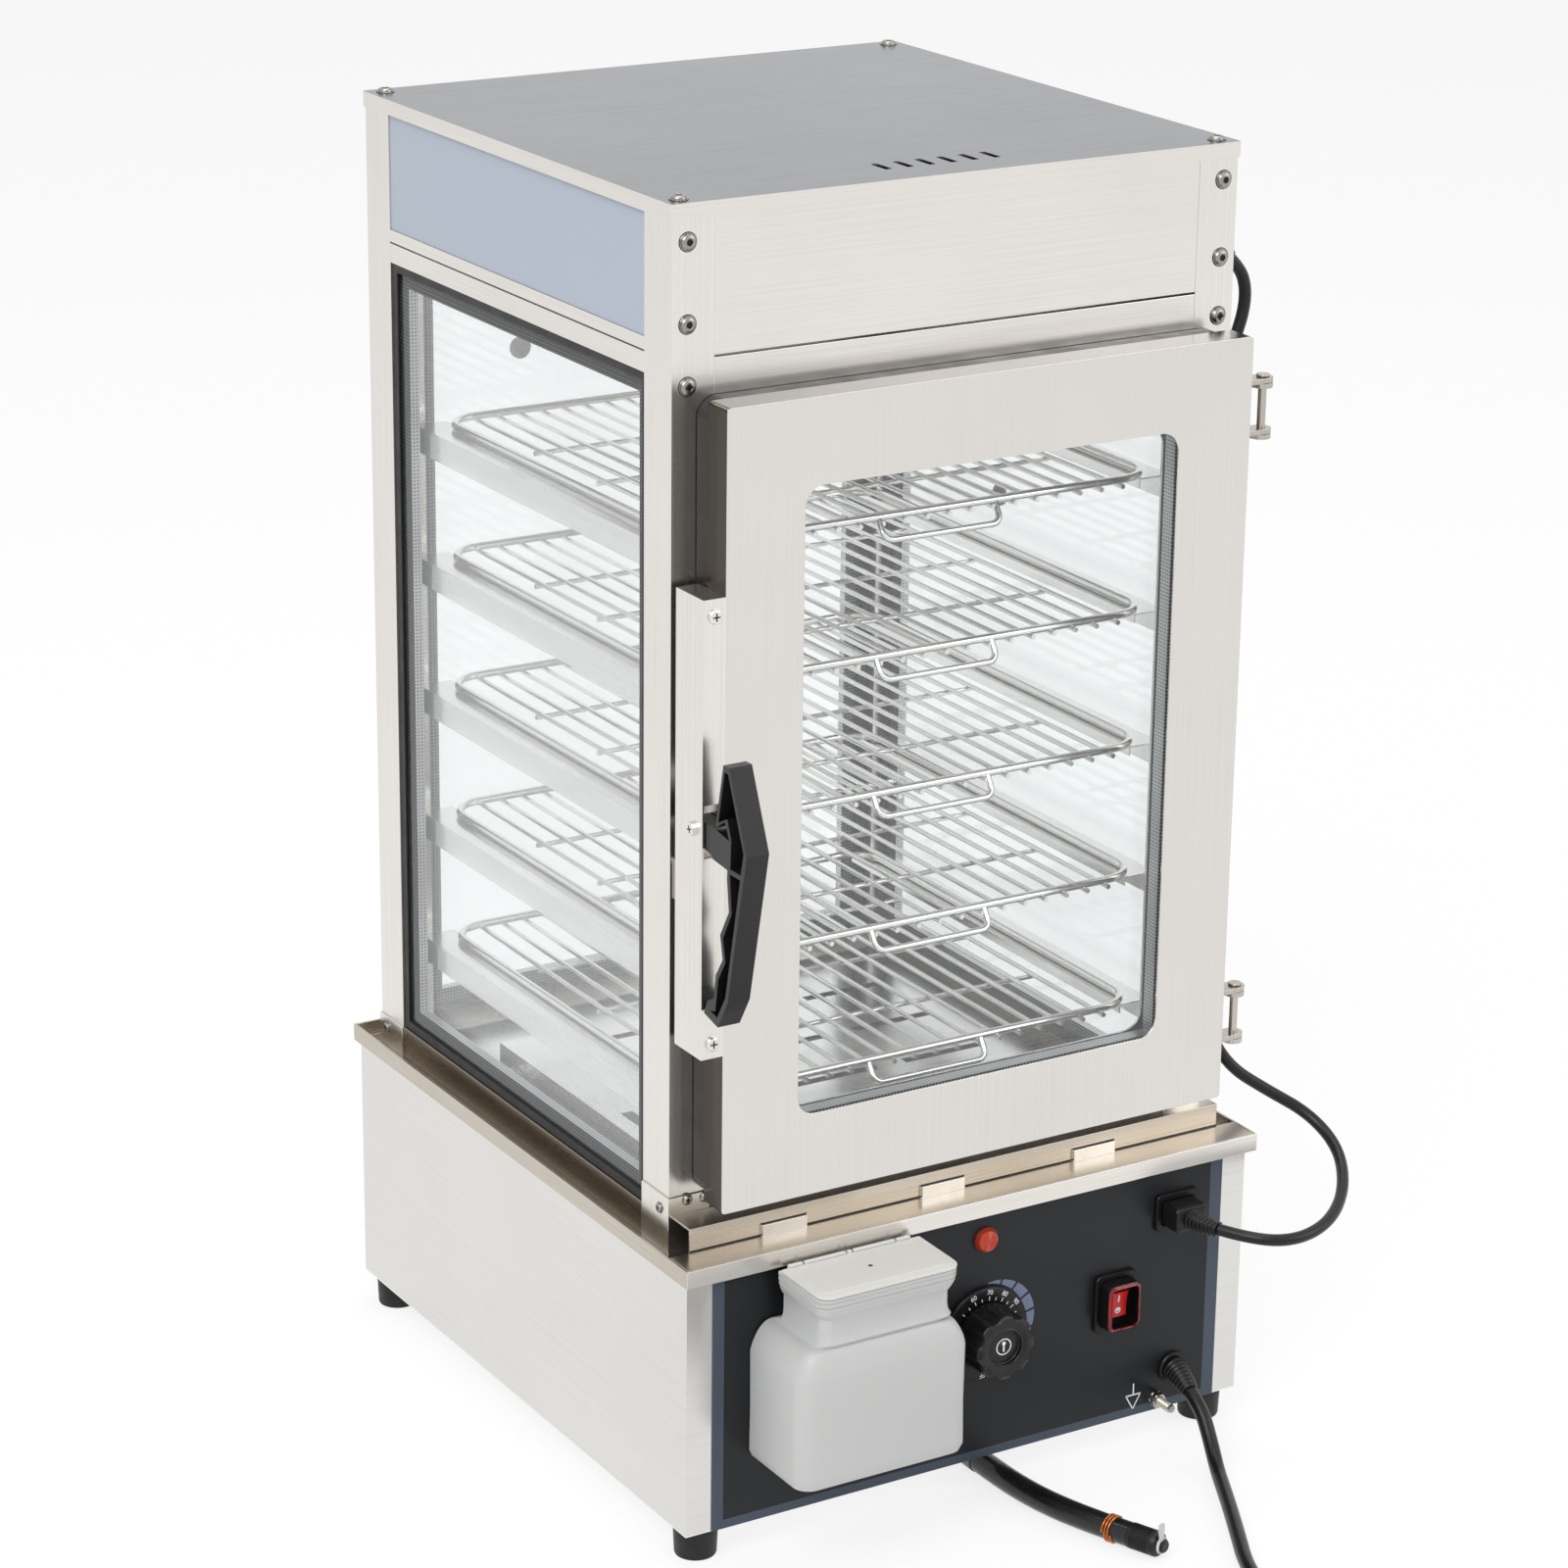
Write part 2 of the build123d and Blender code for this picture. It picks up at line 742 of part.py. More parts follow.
def frame_screws():
    """Screws of the posts and the top cover."""
    screws = []
    for z in post_screw_zs:
        for side in (-1, 1):
            screws.append(screw(side * post_screw_x, -half_depth, z, (0, -1, 0)))
    for side in (-1, 1):
        for y in (-half_depth + top_screw_inset, half_depth - top_screw_inset):
            screws.append(screw(side * (half_width - top_screw_inset), y, cabinet_top, (0, 0, 1)))
    return Compound(children=screws)


def top_cover():
    """Lid of folded sheet with vents near the front."""
    x = half_width + top_sheet
    y = half_depth + top_sheet
    lid = span((-x, x), (-y, y), (cabinet_top - cover_lip, cabinet_top))
    room = (cabinet_top - cover_lip - 1, cover_under)
    lid -= span((-half_width, half_width), (-half_depth, half_depth), room)
    lid = fillet(lid.edges().filter_by(Axis.Z).sort_by(lambda edge: -abs(edge.center().X))[:4], top_sheet)
    first = -(vent_count - 1) * vent_pitch / 2
    for index in range(vent_count):
        vent_x = first + index * vent_pitch + 2.0
        lid -= span(
            (vent_x - vent_width / 2, vent_x + vent_width / 2),
            (vent_front_y, vent_front_y + vent_length),
            (cover_under - 1, cabinet_top + 1),
        )
    for side in (-1, 1):
        for screw_y in (-half_depth + top_screw_inset, half_depth - top_screw_inset):
            screw_x = side * (half_width - top_screw_inset)
            lid -= along_z(screw_x, screw_y, screw_shank + fit, cover_under - 1, cabinet_top + 1)
    return lid


def fascia():
    """Front of the light box, folded back at top and bottom."""
    y0 = -half_depth
    face = span((-post_x, post_x), (y0, y0 + 12.0), (fascia_bottom, cover_under))
    inside = (fascia_bottom + rail_sheet, cover_under - rail_sheet)
    return face - span((-post_x - 1, post_x + 1), (y0 + rail_sheet, y0 + 13.0), inside)


def channel_x(y_out, y_in, z0, z1):
    """A rail across the cabinet, open at the inner side."""
    inward = 1 if y_in > y_out else -1
    rail = span((-post_x, post_x), (y_out, y_in), (z0, z1))
    across = (y_out + inward * rail_sheet, y_in + inward)
    return rail - span((-post_x - 1, post_x + 1), across, (z0 + rail_sheet, z1 - rail_sheet))


def channel_y(x_out, x_in, z0, z1):
    """A rail along the cabinet's side, open at the inner side."""
    inward = 1 if x_in > x_out else -1
    rail = span((x_out, x_in), (-post_y, post_y), (z0, z1))
    across = (x_out + inward * rail_sheet, x_in + inward)
    return rail - span(across, (-post_y - 1, post_y + 1), (z0 + rail_sheet, z1 - rail_sheet))


def cabinet_rails():
    """Header, sill, the rails of the sides and the back, and the ceiling plate."""
    header = channel_x(-half_depth, -half_depth + rail_depth, header_bottom, fascia_bottom - fascia_gap)
    sill = channel_x(-half_depth, -half_depth + rail_depth, tray_top, sill_top)
    back_top = channel_x(half_depth, half_depth - rail_depth, side_rail_bottom, light_floor)
    back_low = channel_x(half_depth, half_depth - rail_depth, tray_top, side_sill_top)
    side_top = channel_y(-half_width, -half_width + rail_depth, side_rail_bottom, light_floor)
    side_low = channel_y(-half_width, -half_width + rail_depth, tray_top, side_sill_top)
    rails = [header, sill, back_top, back_low, side_top, turned(side_top), side_low, turned(side_low)]
    return Compound(children=rails + [ceiling_plate()])


def ceiling_plate():
    """Plate between the chamber and the light box."""
    inner_x = half_width - rail_depth
    back_y = half_depth - panel_inset - panel_thickness
    sheet = (light_floor, light_floor + ceiling_sheet)
    plate = span((-post_x, post_x), (-half_depth + rail_sheet, back_y), sheet)
    side_x = half_width - panel_inset - panel_thickness
    plate += span((-side_x, side_x), (-post_y, post_y), sheet)
    plate -= span((-20, 20), (-inner_x + 40, -inner_x + 60), (light_floor - 1, light_floor + 3))
    return plate


def light_panels():
    """Frosted panels of the light box at the left, right and back."""
    z = (light_floor, cover_under)
    x0 = -half_width + panel_inset
    left = span((x0, x0 + panel_thickness), (-post_y, post_y), z)
    back_y = half_depth - panel_inset
    back = span((-post_x, post_x), (back_y - panel_thickness, back_y), z)
    return Compound(children=[left, turned(left), back])


def light_tube():
    """Lamp batten on the ceiling plate with its diffuser."""
    base = light_floor + ceiling_sheet
    half, width, top = batten_half_length, batten_half_width, base + batten_height
    batten = span((-half, half), (-width, width), (base, top))
    cover = rod((-half + 5, 0, top), (half - 5, 0, top), width - 2)
    cover -= span((-half - 1, half + 1), (-width - 1, width + 1), (base, top))
    return batten + cover


def pane_pair(out_x, y, z):
    """Two panes of a left-hand unit."""
    outer = span((out_x, out_x + pane), y, z)
    inner = span((out_x + pane + air_gap, out_x + 2 * pane + air_gap), y, z)
    return [outer, inner]


def chamber_glass():
    """Double glazing of both sides and the back."""
    left = pane_pair(glass_x, side_y, side_z)
    panes = left + [turned(shape) for shape in left]
    for start in (0.0, pane + air_gap):
        panes.append(span(back_x, (back_glass_y - start - pane, back_glass_y - start), side_z))
    return Compound(children=panes)


def glass_spacers():
    """Perforated spacer bars between the panes of the sides and the back."""
    x = (glass_x + pane, glass_x + pane + air_gap)
    left = span(x, side_y, side_z)
    inner_y = (side_y[0] + glass_edge + spacer_width, side_y[1] - glass_edge - spacer_width)
    inner_z = (side_z[0] + glass_edge + spacer_width, side_z[1] - glass_edge - spacer_width)
    left -= span((x[0] - 1, x[1] + 1), inner_y, inner_z)
    back_y = (back_glass_y - pane - air_gap, back_glass_y - pane)
    back = frame_xz(back_x, side_z, glass_edge + spacer_width, back_y)
    return Compound(children=[left, turned(left), back])


def glass_gaskets():
    """Black channel gaskets round the sides' and the back's glazing."""
    x = (-half_width + gasket_inset, glass_x + glass_unit + gasket_lip)
    outer = span(x, (-post_y, post_y), (side_sill_top, side_rail_bottom))
    outer -= span((glass_x, glass_x + glass_unit), side_y, side_z)
    sight_y = (side_y[0] + glass_edge, side_y[1] - glass_edge)
    sight_z = (side_z[0] + glass_edge, side_z[1] - glass_edge)
    left = outer - span((x[0] - 1, x[1] + 1), sight_y, sight_z)
    y = (back_glass_y - glass_unit - gasket_lip, half_depth - gasket_inset)
    back = span((-post_x, post_x), y, (side_sill_top, side_rail_bottom))
    back -= span(back_x, (back_glass_y - glass_unit, back_glass_y), side_z)
    back -= span((back_x[0] + glass_edge, back_x[1] - glass_edge), (y[0] - 1, y[1] + 1), sight_z)
    return Compound(children=[left, turned(left), back])


def rack_rails():
    """Ledges of both sides, between the front and rear posts."""
    x_out = glass_x + glass_unit + gasket_lip
    ledges = []
    for z in rack_zs:
        top = z - rod_radius - rack_rest_gap
        ledge = span((x_out, x_out + ledge_width), (-post_y, post_y), (top - ledge_sheet, top))
        ledge += span((x_out, x_out + ledge_sheet), (-post_y, post_y), (top - ledge_face, top))
        inner = x_out + ledge_width
        ledge += span((inner - ledge_sheet, inner), (-post_y, post_y), (top - ledge_lip, top))
        ledges += [ledge, turned(ledge)]
    return Compound(children=ledges)


def wire_rack(z):
    """A chrome wire rack: outer rod, long wires, cross rods and a pull loop."""
    x = rack_half_width - rod_radius
    y0, y1 = rack_front_y, rack_back_y
    corners = [(-x, y0, z), (x, y0, z), (x, y1, z), (-x, y1, z)]
    path = FilletPolyline(*corners, radius=rack_corner, close=True)
    rack = tube(path, rod_radius)
    wire_z = z - rod_radius - wire_radius + weld
    inset = rod_radius + wire_pitch
    wires = int((2 * x - 2 * inset) / wire_pitch) + 1
    first = -(wires - 1) * wire_pitch / 2
    parts = []
    for index in range(wires):
        wire_x = first + index * wire_pitch
        parts.append(rod((wire_x, y0 - wire_reach, wire_z), (wire_x, y1 + wire_reach, wire_z), wire_radius))
    cross_z = wire_z - 2 * wire_radius + weld
    for index in range(cross_rods):
        cross_y = y0 + (index + 1) * (y1 - y0) / (cross_rods + 1)
        parts.append(rod((first - 2, cross_y, cross_z), (-first + 2, cross_y, cross_z), wire_radius))
    half = pull_width / 2
    low_y, low_z = y0 - pull_reach, z - pull_drop
    loop = [(-half, y0, z), (-half, low_y, low_z), (half, low_y, low_z), (half, y0, z)]
    parts.append(tube(FilletPolyline(*loop, radius=6.0), pull_radius))
    return rack.fuse(*parts)


def window_cut(y0, y1):
    """The door's rounded window opening."""
    (x0, x1), (z0, z1) = window
    plane = Plane(origin=((x0 + x1) / 2, y1, (z0 + z1) / 2), x_dir=(1, 0, 0), z_dir=(0, -1, 0))
    return extrude(plane * RectangleRounded(x1 - x0, z1 - z0, window_corner), y1 - y0)


def door_pan():
    """Polished outer skin of the door."""
    pan = span((door_left_x, door_right_x), (door_front_y, door_back_y), (door_bottom_z, door_top_z))
    pan = fillet(pan.edges().filter_by(Axis.Y), door_corner)
    wall = door_sheet
    pan -= span(
        (door_left_x + wall, door_right_x - wall),
        (door_front_y + wall, door_back_y + 1),
        (door_bottom_z + wall, door_top_z - wall),
    )
    return pan - window_cut(door_front_y - 1, door_front_y + wall + 1)


def door_frame():
    """Inner skin that closes the door and holds its glazing."""
    wall = door_sheet
    x = (door_left_x + wall, door_right_x - wall)
    z = (door_bottom_z + wall, door_top_z - wall)
    skin = span(x, (door_back_y - wall, door_back_y), z) - window_cut(door_back_y - wall - 1, door_back_y + 1)
    stop = window_margin - wall - door_glass_overlap
    ring = frame_xz(x, z, stop, (door_front_y + wall, door_back_y - wall))
    core_x, core_z = (x[0] + wall, x[1] - wall), (z[0] + wall, z[1] - wall)
    core = frame_xz(core_x, core_z, stop - 2 * wall, (door_front_y, door_back_y - wall))
    return skin + ring - core


def door_panes():
    """Outer and inner panes of the door."""
    (x0, x1), (z0, z1) = window
    edge = door_glass_overlap
    front, back = door_front_y + door_sheet, door_back_y - door_sheet
    panes = []
    for y in ((front, front + pane), (back - pane, back)):
        panes.append(span((x0 - edge, x1 + edge), y, (z0 - edge, z1 + edge)))
    return Compound(children=panes)


def door_spacer():
    """Perforated spacer bar between the door's panes."""
    (x0, x1), (z0, z1) = window
    edge = door_glass_overlap
    y = (door_front_y + door_sheet + pane, door_back_y - door_sheet - pane)
    return frame_xz((x0 - edge, x1 + edge), (z0 - edge, z1 + edge), edge, y)


def door_gasket():
    """Soft seal on the back of the door."""
    inset = door_gasket_inset
    y = (door_back_y, -half_depth - gasket_gap)
    x = (door_left_x + inset, door_right_x - inset)
    z = (door_bottom_z + inset, door_top_z - inset)
    return frame_xz(x, z, door_gasket_width, y, door_gasket_corner)


def lug(root, z, hole_clearance):
    """A rounded tongue from its leaf to the hinge pin."""
    pin = Vector(hinge_pin_x, hinge_pin_y, z)
    base = Vector(root[0], root[1], z)
    run = pin - base
    tongue = extrude(Plane(origin=pin) * Circle(lug_radius), lug_thickness)
    side = Vector(-run.Y, run.X, 0).normalized() * lug_radius
    outline = Polyline(base + side, pin + side, pin - side, base - side, close=True)
    tongue += extrude(make_face(outline), lug_thickness, dir=(0, 0, 1))
    hole = (z - 1, z + lug_thickness + 1)
    return tongue - along_z(hinge_pin_x, hinge_pin_y, hinge_pin_radius + hole_clearance, *hole)


def hinge_levels(z):
    """Undersides of the fixed and the moving lugs of one hinge."""
    low, high = z - hinge_half, z + hinge_half
    fixed = (low - 2 * lug_thickness - lug_gap, high)
    moving = (low - lug_thickness, high + lug_thickness + lug_gap)
    return fixed, moving


def hinge_brackets():
    """Fixed leaves and lugs on the right post."""
    shapes = []
    for z in hinge_zs:
        fixed, moving = hinge_levels(z)
        leaf_x = (door_right_x + leaf_clearance, half_width)
        leaf = span(leaf_x, (-half_depth - leaf_sheet, -half_depth), (fixed[0], moving[1] + lug_thickness))
        root = (half_width - 1.0, -half_depth - leaf_sheet / 2)
        for level in fixed:
            tongue = lug(root, level, 0.0)
            tongue -= span((0, door_right_x + leaf_clearance), (-300, 0), (level - 1, level + 9))
            leaf += tongue - span((0, 300), (-half_depth, 0), (level - 1, level + 9))
        top = moving[1] + lug_thickness + lug_gap
        leaf += along_z(hinge_pin_x, hinge_pin_y, hinge_pin_radius, fixed[0], top)
        leaf += along_z(hinge_pin_x, hinge_pin_y, hinge_pin_radius + 1.5, top, top + 1.2)
        shapes.append(leaf)
    return Compound(children=shapes)


def door_hinge_lugs():
    """Moving leaves and lugs on the door's right edge."""
    shapes = []
    for z in hinge_zs:
        fixed, moving = hinge_levels(z)
        leaf_y = (hinge_pin_y - lug_radius - 1.0, hinge_pin_y + lug_radius + 1.0)
        leaf = span((door_right_x, door_right_x + leaf_sheet), leaf_y, (moving[0], moving[1] + lug_thickness))
        for level in moving:
            leaf += lug((door_right_x + 0.5, hinge_pin_y), level, pin_clearance)
        shapes.append(leaf)
    return Compound(children=shapes)


def latch_fixings():
    """Pivot pin and front screws of the latch box, as a list."""
    pin = rod((latch_x[0] - 1.5, lever_y, lever_z), (latch_x[1] - 0.2, lever_y, lever_z), lever_pin_radius)
    pin += rod((latch_x[0] - 2.4, lever_y, lever_z), (latch_x[0], lever_y, lever_z), 4.2)
    pieces = [pin]
    middle = (latch_x[0] + latch_x[1]) / 2
    for z in (latch_bottom_z + 9.0, latch_top_z - 10.0):
        head = along_y(middle, z, 4.2, latch_front_y - 2.2, latch_front_y)
        pieces.append(fillet(head.edges().filter_by(GeomType.CIRCLE).sort_by(Axis.Y)[0], 1.2))
    return pieces


def latch_box():
    """Folded cover of the latch, open at the back, with its pivot pin and screws."""
    back_y = latch_front_y + latch_depth
    box = span(latch_x, (latch_front_y, back_y), (latch_bottom_z, latch_top_z))
    wall = latch_sheet
    inner_x = (latch_x[0] + wall, latch_x[1] - wall)
    box -= span(inner_x, (latch_front_y + wall, back_y + 1), (latch_bottom_z + wall, latch_top_z - wall))
    slot_z = (lever_z - lever_slot_low, lever_z + lever_slot_high)
    box -= span(inner_x, (latch_front_y - 1, latch_front_y + wall + 1), slot_z)
    bore = (lever_y, lever_z)
    box -= rod((latch_x[0] - 1, *bore), (latch_x[1] + 1, *bore), lever_pin_radius + fit / 2)
    return Compound(children=[box] + latch_fixings())


def lever_point(y, z):
    """A point of the lever's side view, from the pivot."""
    return (lever_y + y, lever_z + z)


def side_face(outline, x):
    """A face in the plane x from a list of y and z."""
    return make_face(Polyline(*[(x, y, z) for y, z in outline], close=True))


def latch_lever():
    """Black lever: truss handle with finger scallops, an arm and the latch's tongue."""
    x0, x1 = latch_x[0] + lever_side, latch_x[1] + lever_side
    arm_x0 = latch_x[0] + latch_sheet + lever_clearance
    arm_x1 = latch_x[1] - latch_sheet - lever_clearance
    outer = [
        (-31.5, 46.2), (-38.0, 46.4), (-57.2, 0.6), (-38.0, -91.0), (-27.3, -109.0),
        (-12.0, -105.4), (-16.1, -96.4), (-22.3, -97.3), (-24.8, -78.5), (-32.2, -67.1),
        (-29.3, -53.3), (-38.6, -37.0), (-36.3, -18.0), (-36.7, -13.0), (-20.0, -11.4),
        (-20.0, 7.2), (-38.6, 4.5), (-33.5, 14.0), (-23.4, 7.6),
    ]
    outline = [lever_point(y, z) for y, z in outer]
    body = extrude(side_face(outline, x0), x1 - x0, dir=(1, 0, 0))
    pockets = [
        [(-33.0, 42.5), (-36.6, 42.5), (-53.8, 1.5), (-51.0, -11.5), (-39.8, -11.5), (-40.6, 5.5),
         (-36.0, 16.5), (-26.5, 11.5)],
        [(-50.4, -14.5), (-35.5, -88.5), (-26.5, -103.5), (-18.5, -101.5), (-24.5, -100.5), (-27.5, -80.5),
         (-35.3, -67.8), (-32.4, -54.4), (-41.6, -37.4), (-39.4, -14.5)],
    ]
    for pocket in pockets:
        shape = [lever_point(y, z) for y, z in pocket]
        body -= extrude(side_face(shape, x0 - 1), x1 - x0 + 1 - lever_wall, dir=(1, 0, 0))
    arm = [(-21.0, -11.3), (4.0, -6.0), (12.0, -6.0), (12.0, 0.0), (4.0, 6.0), (-21.0, 7.1)]
    body += extrude(side_face([lever_point(y, z) for y, z in arm], arm_x0), arm_x1 - arm_x0, dir=(1, 0, 0))
    bore = (lever_y, lever_z)
    return body - rod((x0 - 1, *bore), (x1 + 1, *bore), lever_pin_radius + pin_clearance)


def latch_strike():
    """Keeper on the left post that the latch's tongue catches."""
    x0 = latch_x[0] + latch_sheet + 1.0
    x1 = latch_x[1] - latch_sheet - 1.0
    plate_z = (lever_z - 50.0, lever_z - 50.0 + strike_height)
    plate = span((x0, x1), (-half_depth - leaf_sheet, -half_depth), plate_z)
    hook = span((x0, x1), (-half_depth - 8.0, -half_depth), (lever_z - 30.0, lever_z - 26.0))
    return plate + hook


def indicator_lamp():
    """Round neon lamp: domed lens in a thin bezel, and its body behind the panel."""
    lens = along_y(lamp_x, lamp_z, lamp_bezel_radius, overlay_y - 2.0, overlay_y)
    dome = along_y(lamp_x, lamp_z, lamp_radius, overlay_y - 5.0, overlay_y - 1.5)
    dome = fillet(dome.edges().filter_by(GeomType.CIRCLE).sort_by(Axis.Y)[0], 2.0)
    body = along_y(lamp_x, lamp_z, lamp_radius - 1.0 - fit, overlay_y, base_front_y + 18.0)
    return lens + dome + body


def dial_plate():
    """Fixed ring that carries the knob's numbers."""
    disc = along_y(knob_x, knob_z, dial_radius, overlay_y - dial_thickness, overlay_y)
    disc = chamfer(disc.edges().filter_by(GeomType.CIRCLE).sort_by(Axis.Y)[0], 0.8)
    return disc - along_y(knob_x, knob_z, shaft_radius + 1.0, overlay_y - dial_thickness - 1, overlay_y + 1)


def thermostat_knob():
    """Knob with a lobed grip and a recessed face."""
    back_y = overlay_y - dial_thickness - grip_gap
    face_y = back_y - grip_length
    grip = along_y(knob_x, knob_z, grip_radius, face_y, back_y)
    grip = chamfer(grip.edges().filter_by(GeomType.CIRCLE).sort_by(Axis.Y)[0], 1.2)
    for index in range(grip_lobes):
        angle = 2 * pi * (index + 0.5) / grip_lobes
        x = knob_x + (grip_radius + 5.0) * cos(angle)
        z = knob_z + (grip_radius + 5.0) * sin(angle)
        grip -= along_y(x, z, 7.0, face_y - 1, back_y - 3.0)
    grip -= along_y(knob_x, knob_z, 11.0, face_y - 1, face_y + 3.0)
    return grip - along_y(knob_x, knob_z, shaft_radius + pin_clearance, back_y - 13.0, back_y + 1)


def switch_housing():
    """Bezel and body of the rocker switch."""
    half_w, half_h = switch_width / 2, switch_height / 2
    front = overlay_y - switch_frame_depth
    bezel_x, bezel_z = (switch_x - half_w, switch_x + half_w), (switch_z - half_h, switch_z + half_h)
    bezel = span(bezel_x, (front, overlay_y), bezel_z)
    bezel = fillet(bezel.edges().filter_by(Axis.Y), 4.0)
    body_w, body_h = half_w - 2.5 - fit, half_h - 2.5 - fit
    body = span(
        (switch_x - body_w, switch_x + body_w),
        (overlay_y, base_front_y + switch_body_depth),
        (switch_z - body_h, switch_z + body_h),
    )
    well_w, well_h = rocker_width / 2 + 0.8, rocker_height / 2 + 1.2
    well_x, well_z = (switch_x - well_w, switch_x + well_w), (switch_z - well_h, switch_z + well_h)
    return bezel + body - span(well_x, (front - 1, front + 12.0), well_z)


def switch_boot():
    """Clear splash cover over the rocker."""
    half_w, half_h = boot_width / 2, boot_height / 2
    back = overlay_y - switch_frame_depth
    front = back - boot_depth
    boot = span((switch_x - half_w, switch_x + half_w), (front, back), (switch_z - half_h, switch_z + half_h))
    boot = fillet(boot.edges().filter_by(Axis.Y), 5.0)
    boot = fillet(boot.faces().sort_by(Axis.Y)[0].edges(), 2.5)
    wall = boot_wall
    inner = span(
        (switch_x - half_w + wall, switch_x + half_w - wall),
        (front + wall, back + 1),
        (switch_z - half_h + wall, switch_z + half_h - wall),
    )
    inner = fillet(inner.edges().filter_by(Axis.Y), 5.0 - wall)
    inner = fillet(inner.faces().sort_by(Axis.Y)[0].edges(), 2.0)
    return boot - inner


def rocker():
    """The rocker, tipped to its off side, on its cross pin."""
    pivot_y = overlay_y - switch_frame_depth + 4.0
    half_w, half_h = rocker_width / 2, rocker_height / 2
    front = pivot_y - 6.5
    cap_x, cap_z = (switch_x - half_w, switch_x + half_w), (switch_z - half_h, switch_z + half_h)
    cap = span(cap_x, (front, pivot_y + 2.0), cap_z)
    groove = Pos(switch_x, front - 42.0, switch_z) * Rot(0, 90, 0) * Cylinder(42.8, rocker_width + 2)
    cap -= groove
    return Pos(0, pivot_y, switch_z) * Rot(rocker_tilt, 0, 0) * Pos(0, -pivot_y, -switch_z) * cap


def output_socket():
    """Snap-in outlet for the lamp lead."""
    half_w, half_h = socket_width / 2, socket_height / 2
    front = overlay_y - socket_frame
    frame_x, frame_z = (socket_x - half_w, socket_x + half_w), (socket_z - half_h, socket_z + half_h)
    frame = span(frame_x, (front, overlay_y), frame_z)
    frame = fillet(frame.edges().filter_by(Axis.Y), 3.0)
    body_w, body_h = half_w - 2.5 - fit, half_h - 2.5 - fit
    body = span(
        (socket_x - body_w, socket_x + body_w),
        (overlay_y, base_front_y + socket_body_depth),
        (socket_z - body_h, socket_z + body_h),
    )
    well_w, well_h = plug_width / 2 + fit, plug_height / 2 + fit
    well_x, well_z = (socket_x - well_w, socket_x + well_w), (socket_z - well_h, socket_z + well_h)
    return frame + body - span(well_x, (front - 1, front + plug_seat), well_z)


def output_route_start():
    """Where the lamp lead leaves its plug, and its direction there."""
    first, second = Vector(*output_points[0]), Vector(*output_points[1])
    return first, (second - first).normalized()


def output_plug():
    """Moulded plug of the lamp lead with its ribbed strain relief."""
    half_w, half_h = plug_width / 2, plug_height / 2
    seat_y = overlay_y - socket_frame + plug_seat
    nose_y = overlay_y - socket_frame - plug_body
    body_x, body_z = (socket_x - half_w, socket_x + half_w), (socket_z - half_h, socket_z + half_h)
    body = fillet(span(body_x, (nose_y, seat_y), body_z).edges().filter_by(Axis.Y), 2.5)
    start, way = output_route_start()
    middle_y = (nose_y + output_exit_y) / 2
    relief = loft([
        Plane(origin=(socket_x, nose_y + 1.0, socket_z), z_dir=(0, -1, 0)) * Circle(6.5),
        Plane(origin=(socket_x + 1.2, middle_y, socket_z), z_dir=(way.X / 2, -1, 0)) * Circle(5.6),
        Plane(origin=start, z_dir=way) * Circle(4.8),
    ])
    return body + relief


def output_cord():
    """Lamp lead from the base's socket to the light box."""
    path = cord_path("output cord", output_points)
    return tube(path, output_radius)


def lead_grommet():
    """Rubber grommet where the lamp lead enters the post, its sleeve angled down."""
    axis = (grommet_y, grommet_z)
    outlet = Vector(*output_points[-1])
    way = (outlet - Vector(*output_points[-2])).normalized()
    shape = rod((half_width, *axis), (half_width + 2.5, *axis), grommet_radius + 1.8)
    shape += rod((half_width - 2.6, *axis), (half_width + 1.0, *axis), grommet_radius - 1.0 - fit)
    sleeve = rod(tuple(outlet), tuple(outlet + way * 8.0), grommet_radius - 0.6)
    return shape + (sleeve - span((0, half_width), (-300, 0), (0, 900)))


def cord_glands():
    """The lamp lead's grommet and the mains cord's strain relief."""
    mains_way = Vector(*mains_points[1]) - Vector(*mains_points[0])
    flange = along_y(gland_x, gland_z, mains_radius + 5.5, overlay_y - 3.0, overlay_y)
    nose = loft([
        Plane(origin=(gland_x, overlay_y - 2.0, gland_z), z_dir=(0, -1, 0)) * Circle(mains_radius + 3.4),
        Plane(origin=mains_points[0], z_dir=mains_way) * Circle(mains_radius + 1.2),
    ])
    body = along_y(gland_x, gland_z, mains_radius + 3.0 - fit, overlay_y - 1.0, base_front_y + 8.0)
    return Compound(children=[flange + nose + body, lead_grommet()])


def coil_knots():
    """Places and directions along the put-away coil, a quarter turn apart, going clockwise."""
    pitch = 2 * mains_radius + coil_turn_gap
    slope = pitch / (2 * pi)
    outer = coil_inner_radius + pitch * coil_quarters_in / 4
    first_angle = atan2(coil_way.Y, coil_way.X) + pi / 2 + atan2(slope, outer)
    centre = coil_start - Vector(cos(first_angle), sin(first_angle), 0) * outer
    steps = [(outer - pitch * index / 4, -slope, 0.0, 0.0) for index in range(coil_quarters_in + 1)]
    steps.append((coil_inner_radius - coil_dip, 0.0, coil_rise / 2, 0.12))
    for index in range(coil_quarters_out + 1):
        steps.append((coil_inner_radius + pitch * index / 4, slope, coil_rise, 0.0))
    knots = []
    for index, (radius, growth, height, climb) in enumerate(steps):
        angle = first_angle - index * pi / 2
        out = Vector(cos(angle), sin(angle), 0)
        ahead = Vector(sin(angle), -cos(angle), 0)
        way = (ahead * radius + out * growth + Vector(0, 0, climb * radius)).normalized()
        knots.append((centre + out * radius + Vector(0, 0, coil_start.Z - centre.Z + height), way))
    return knots


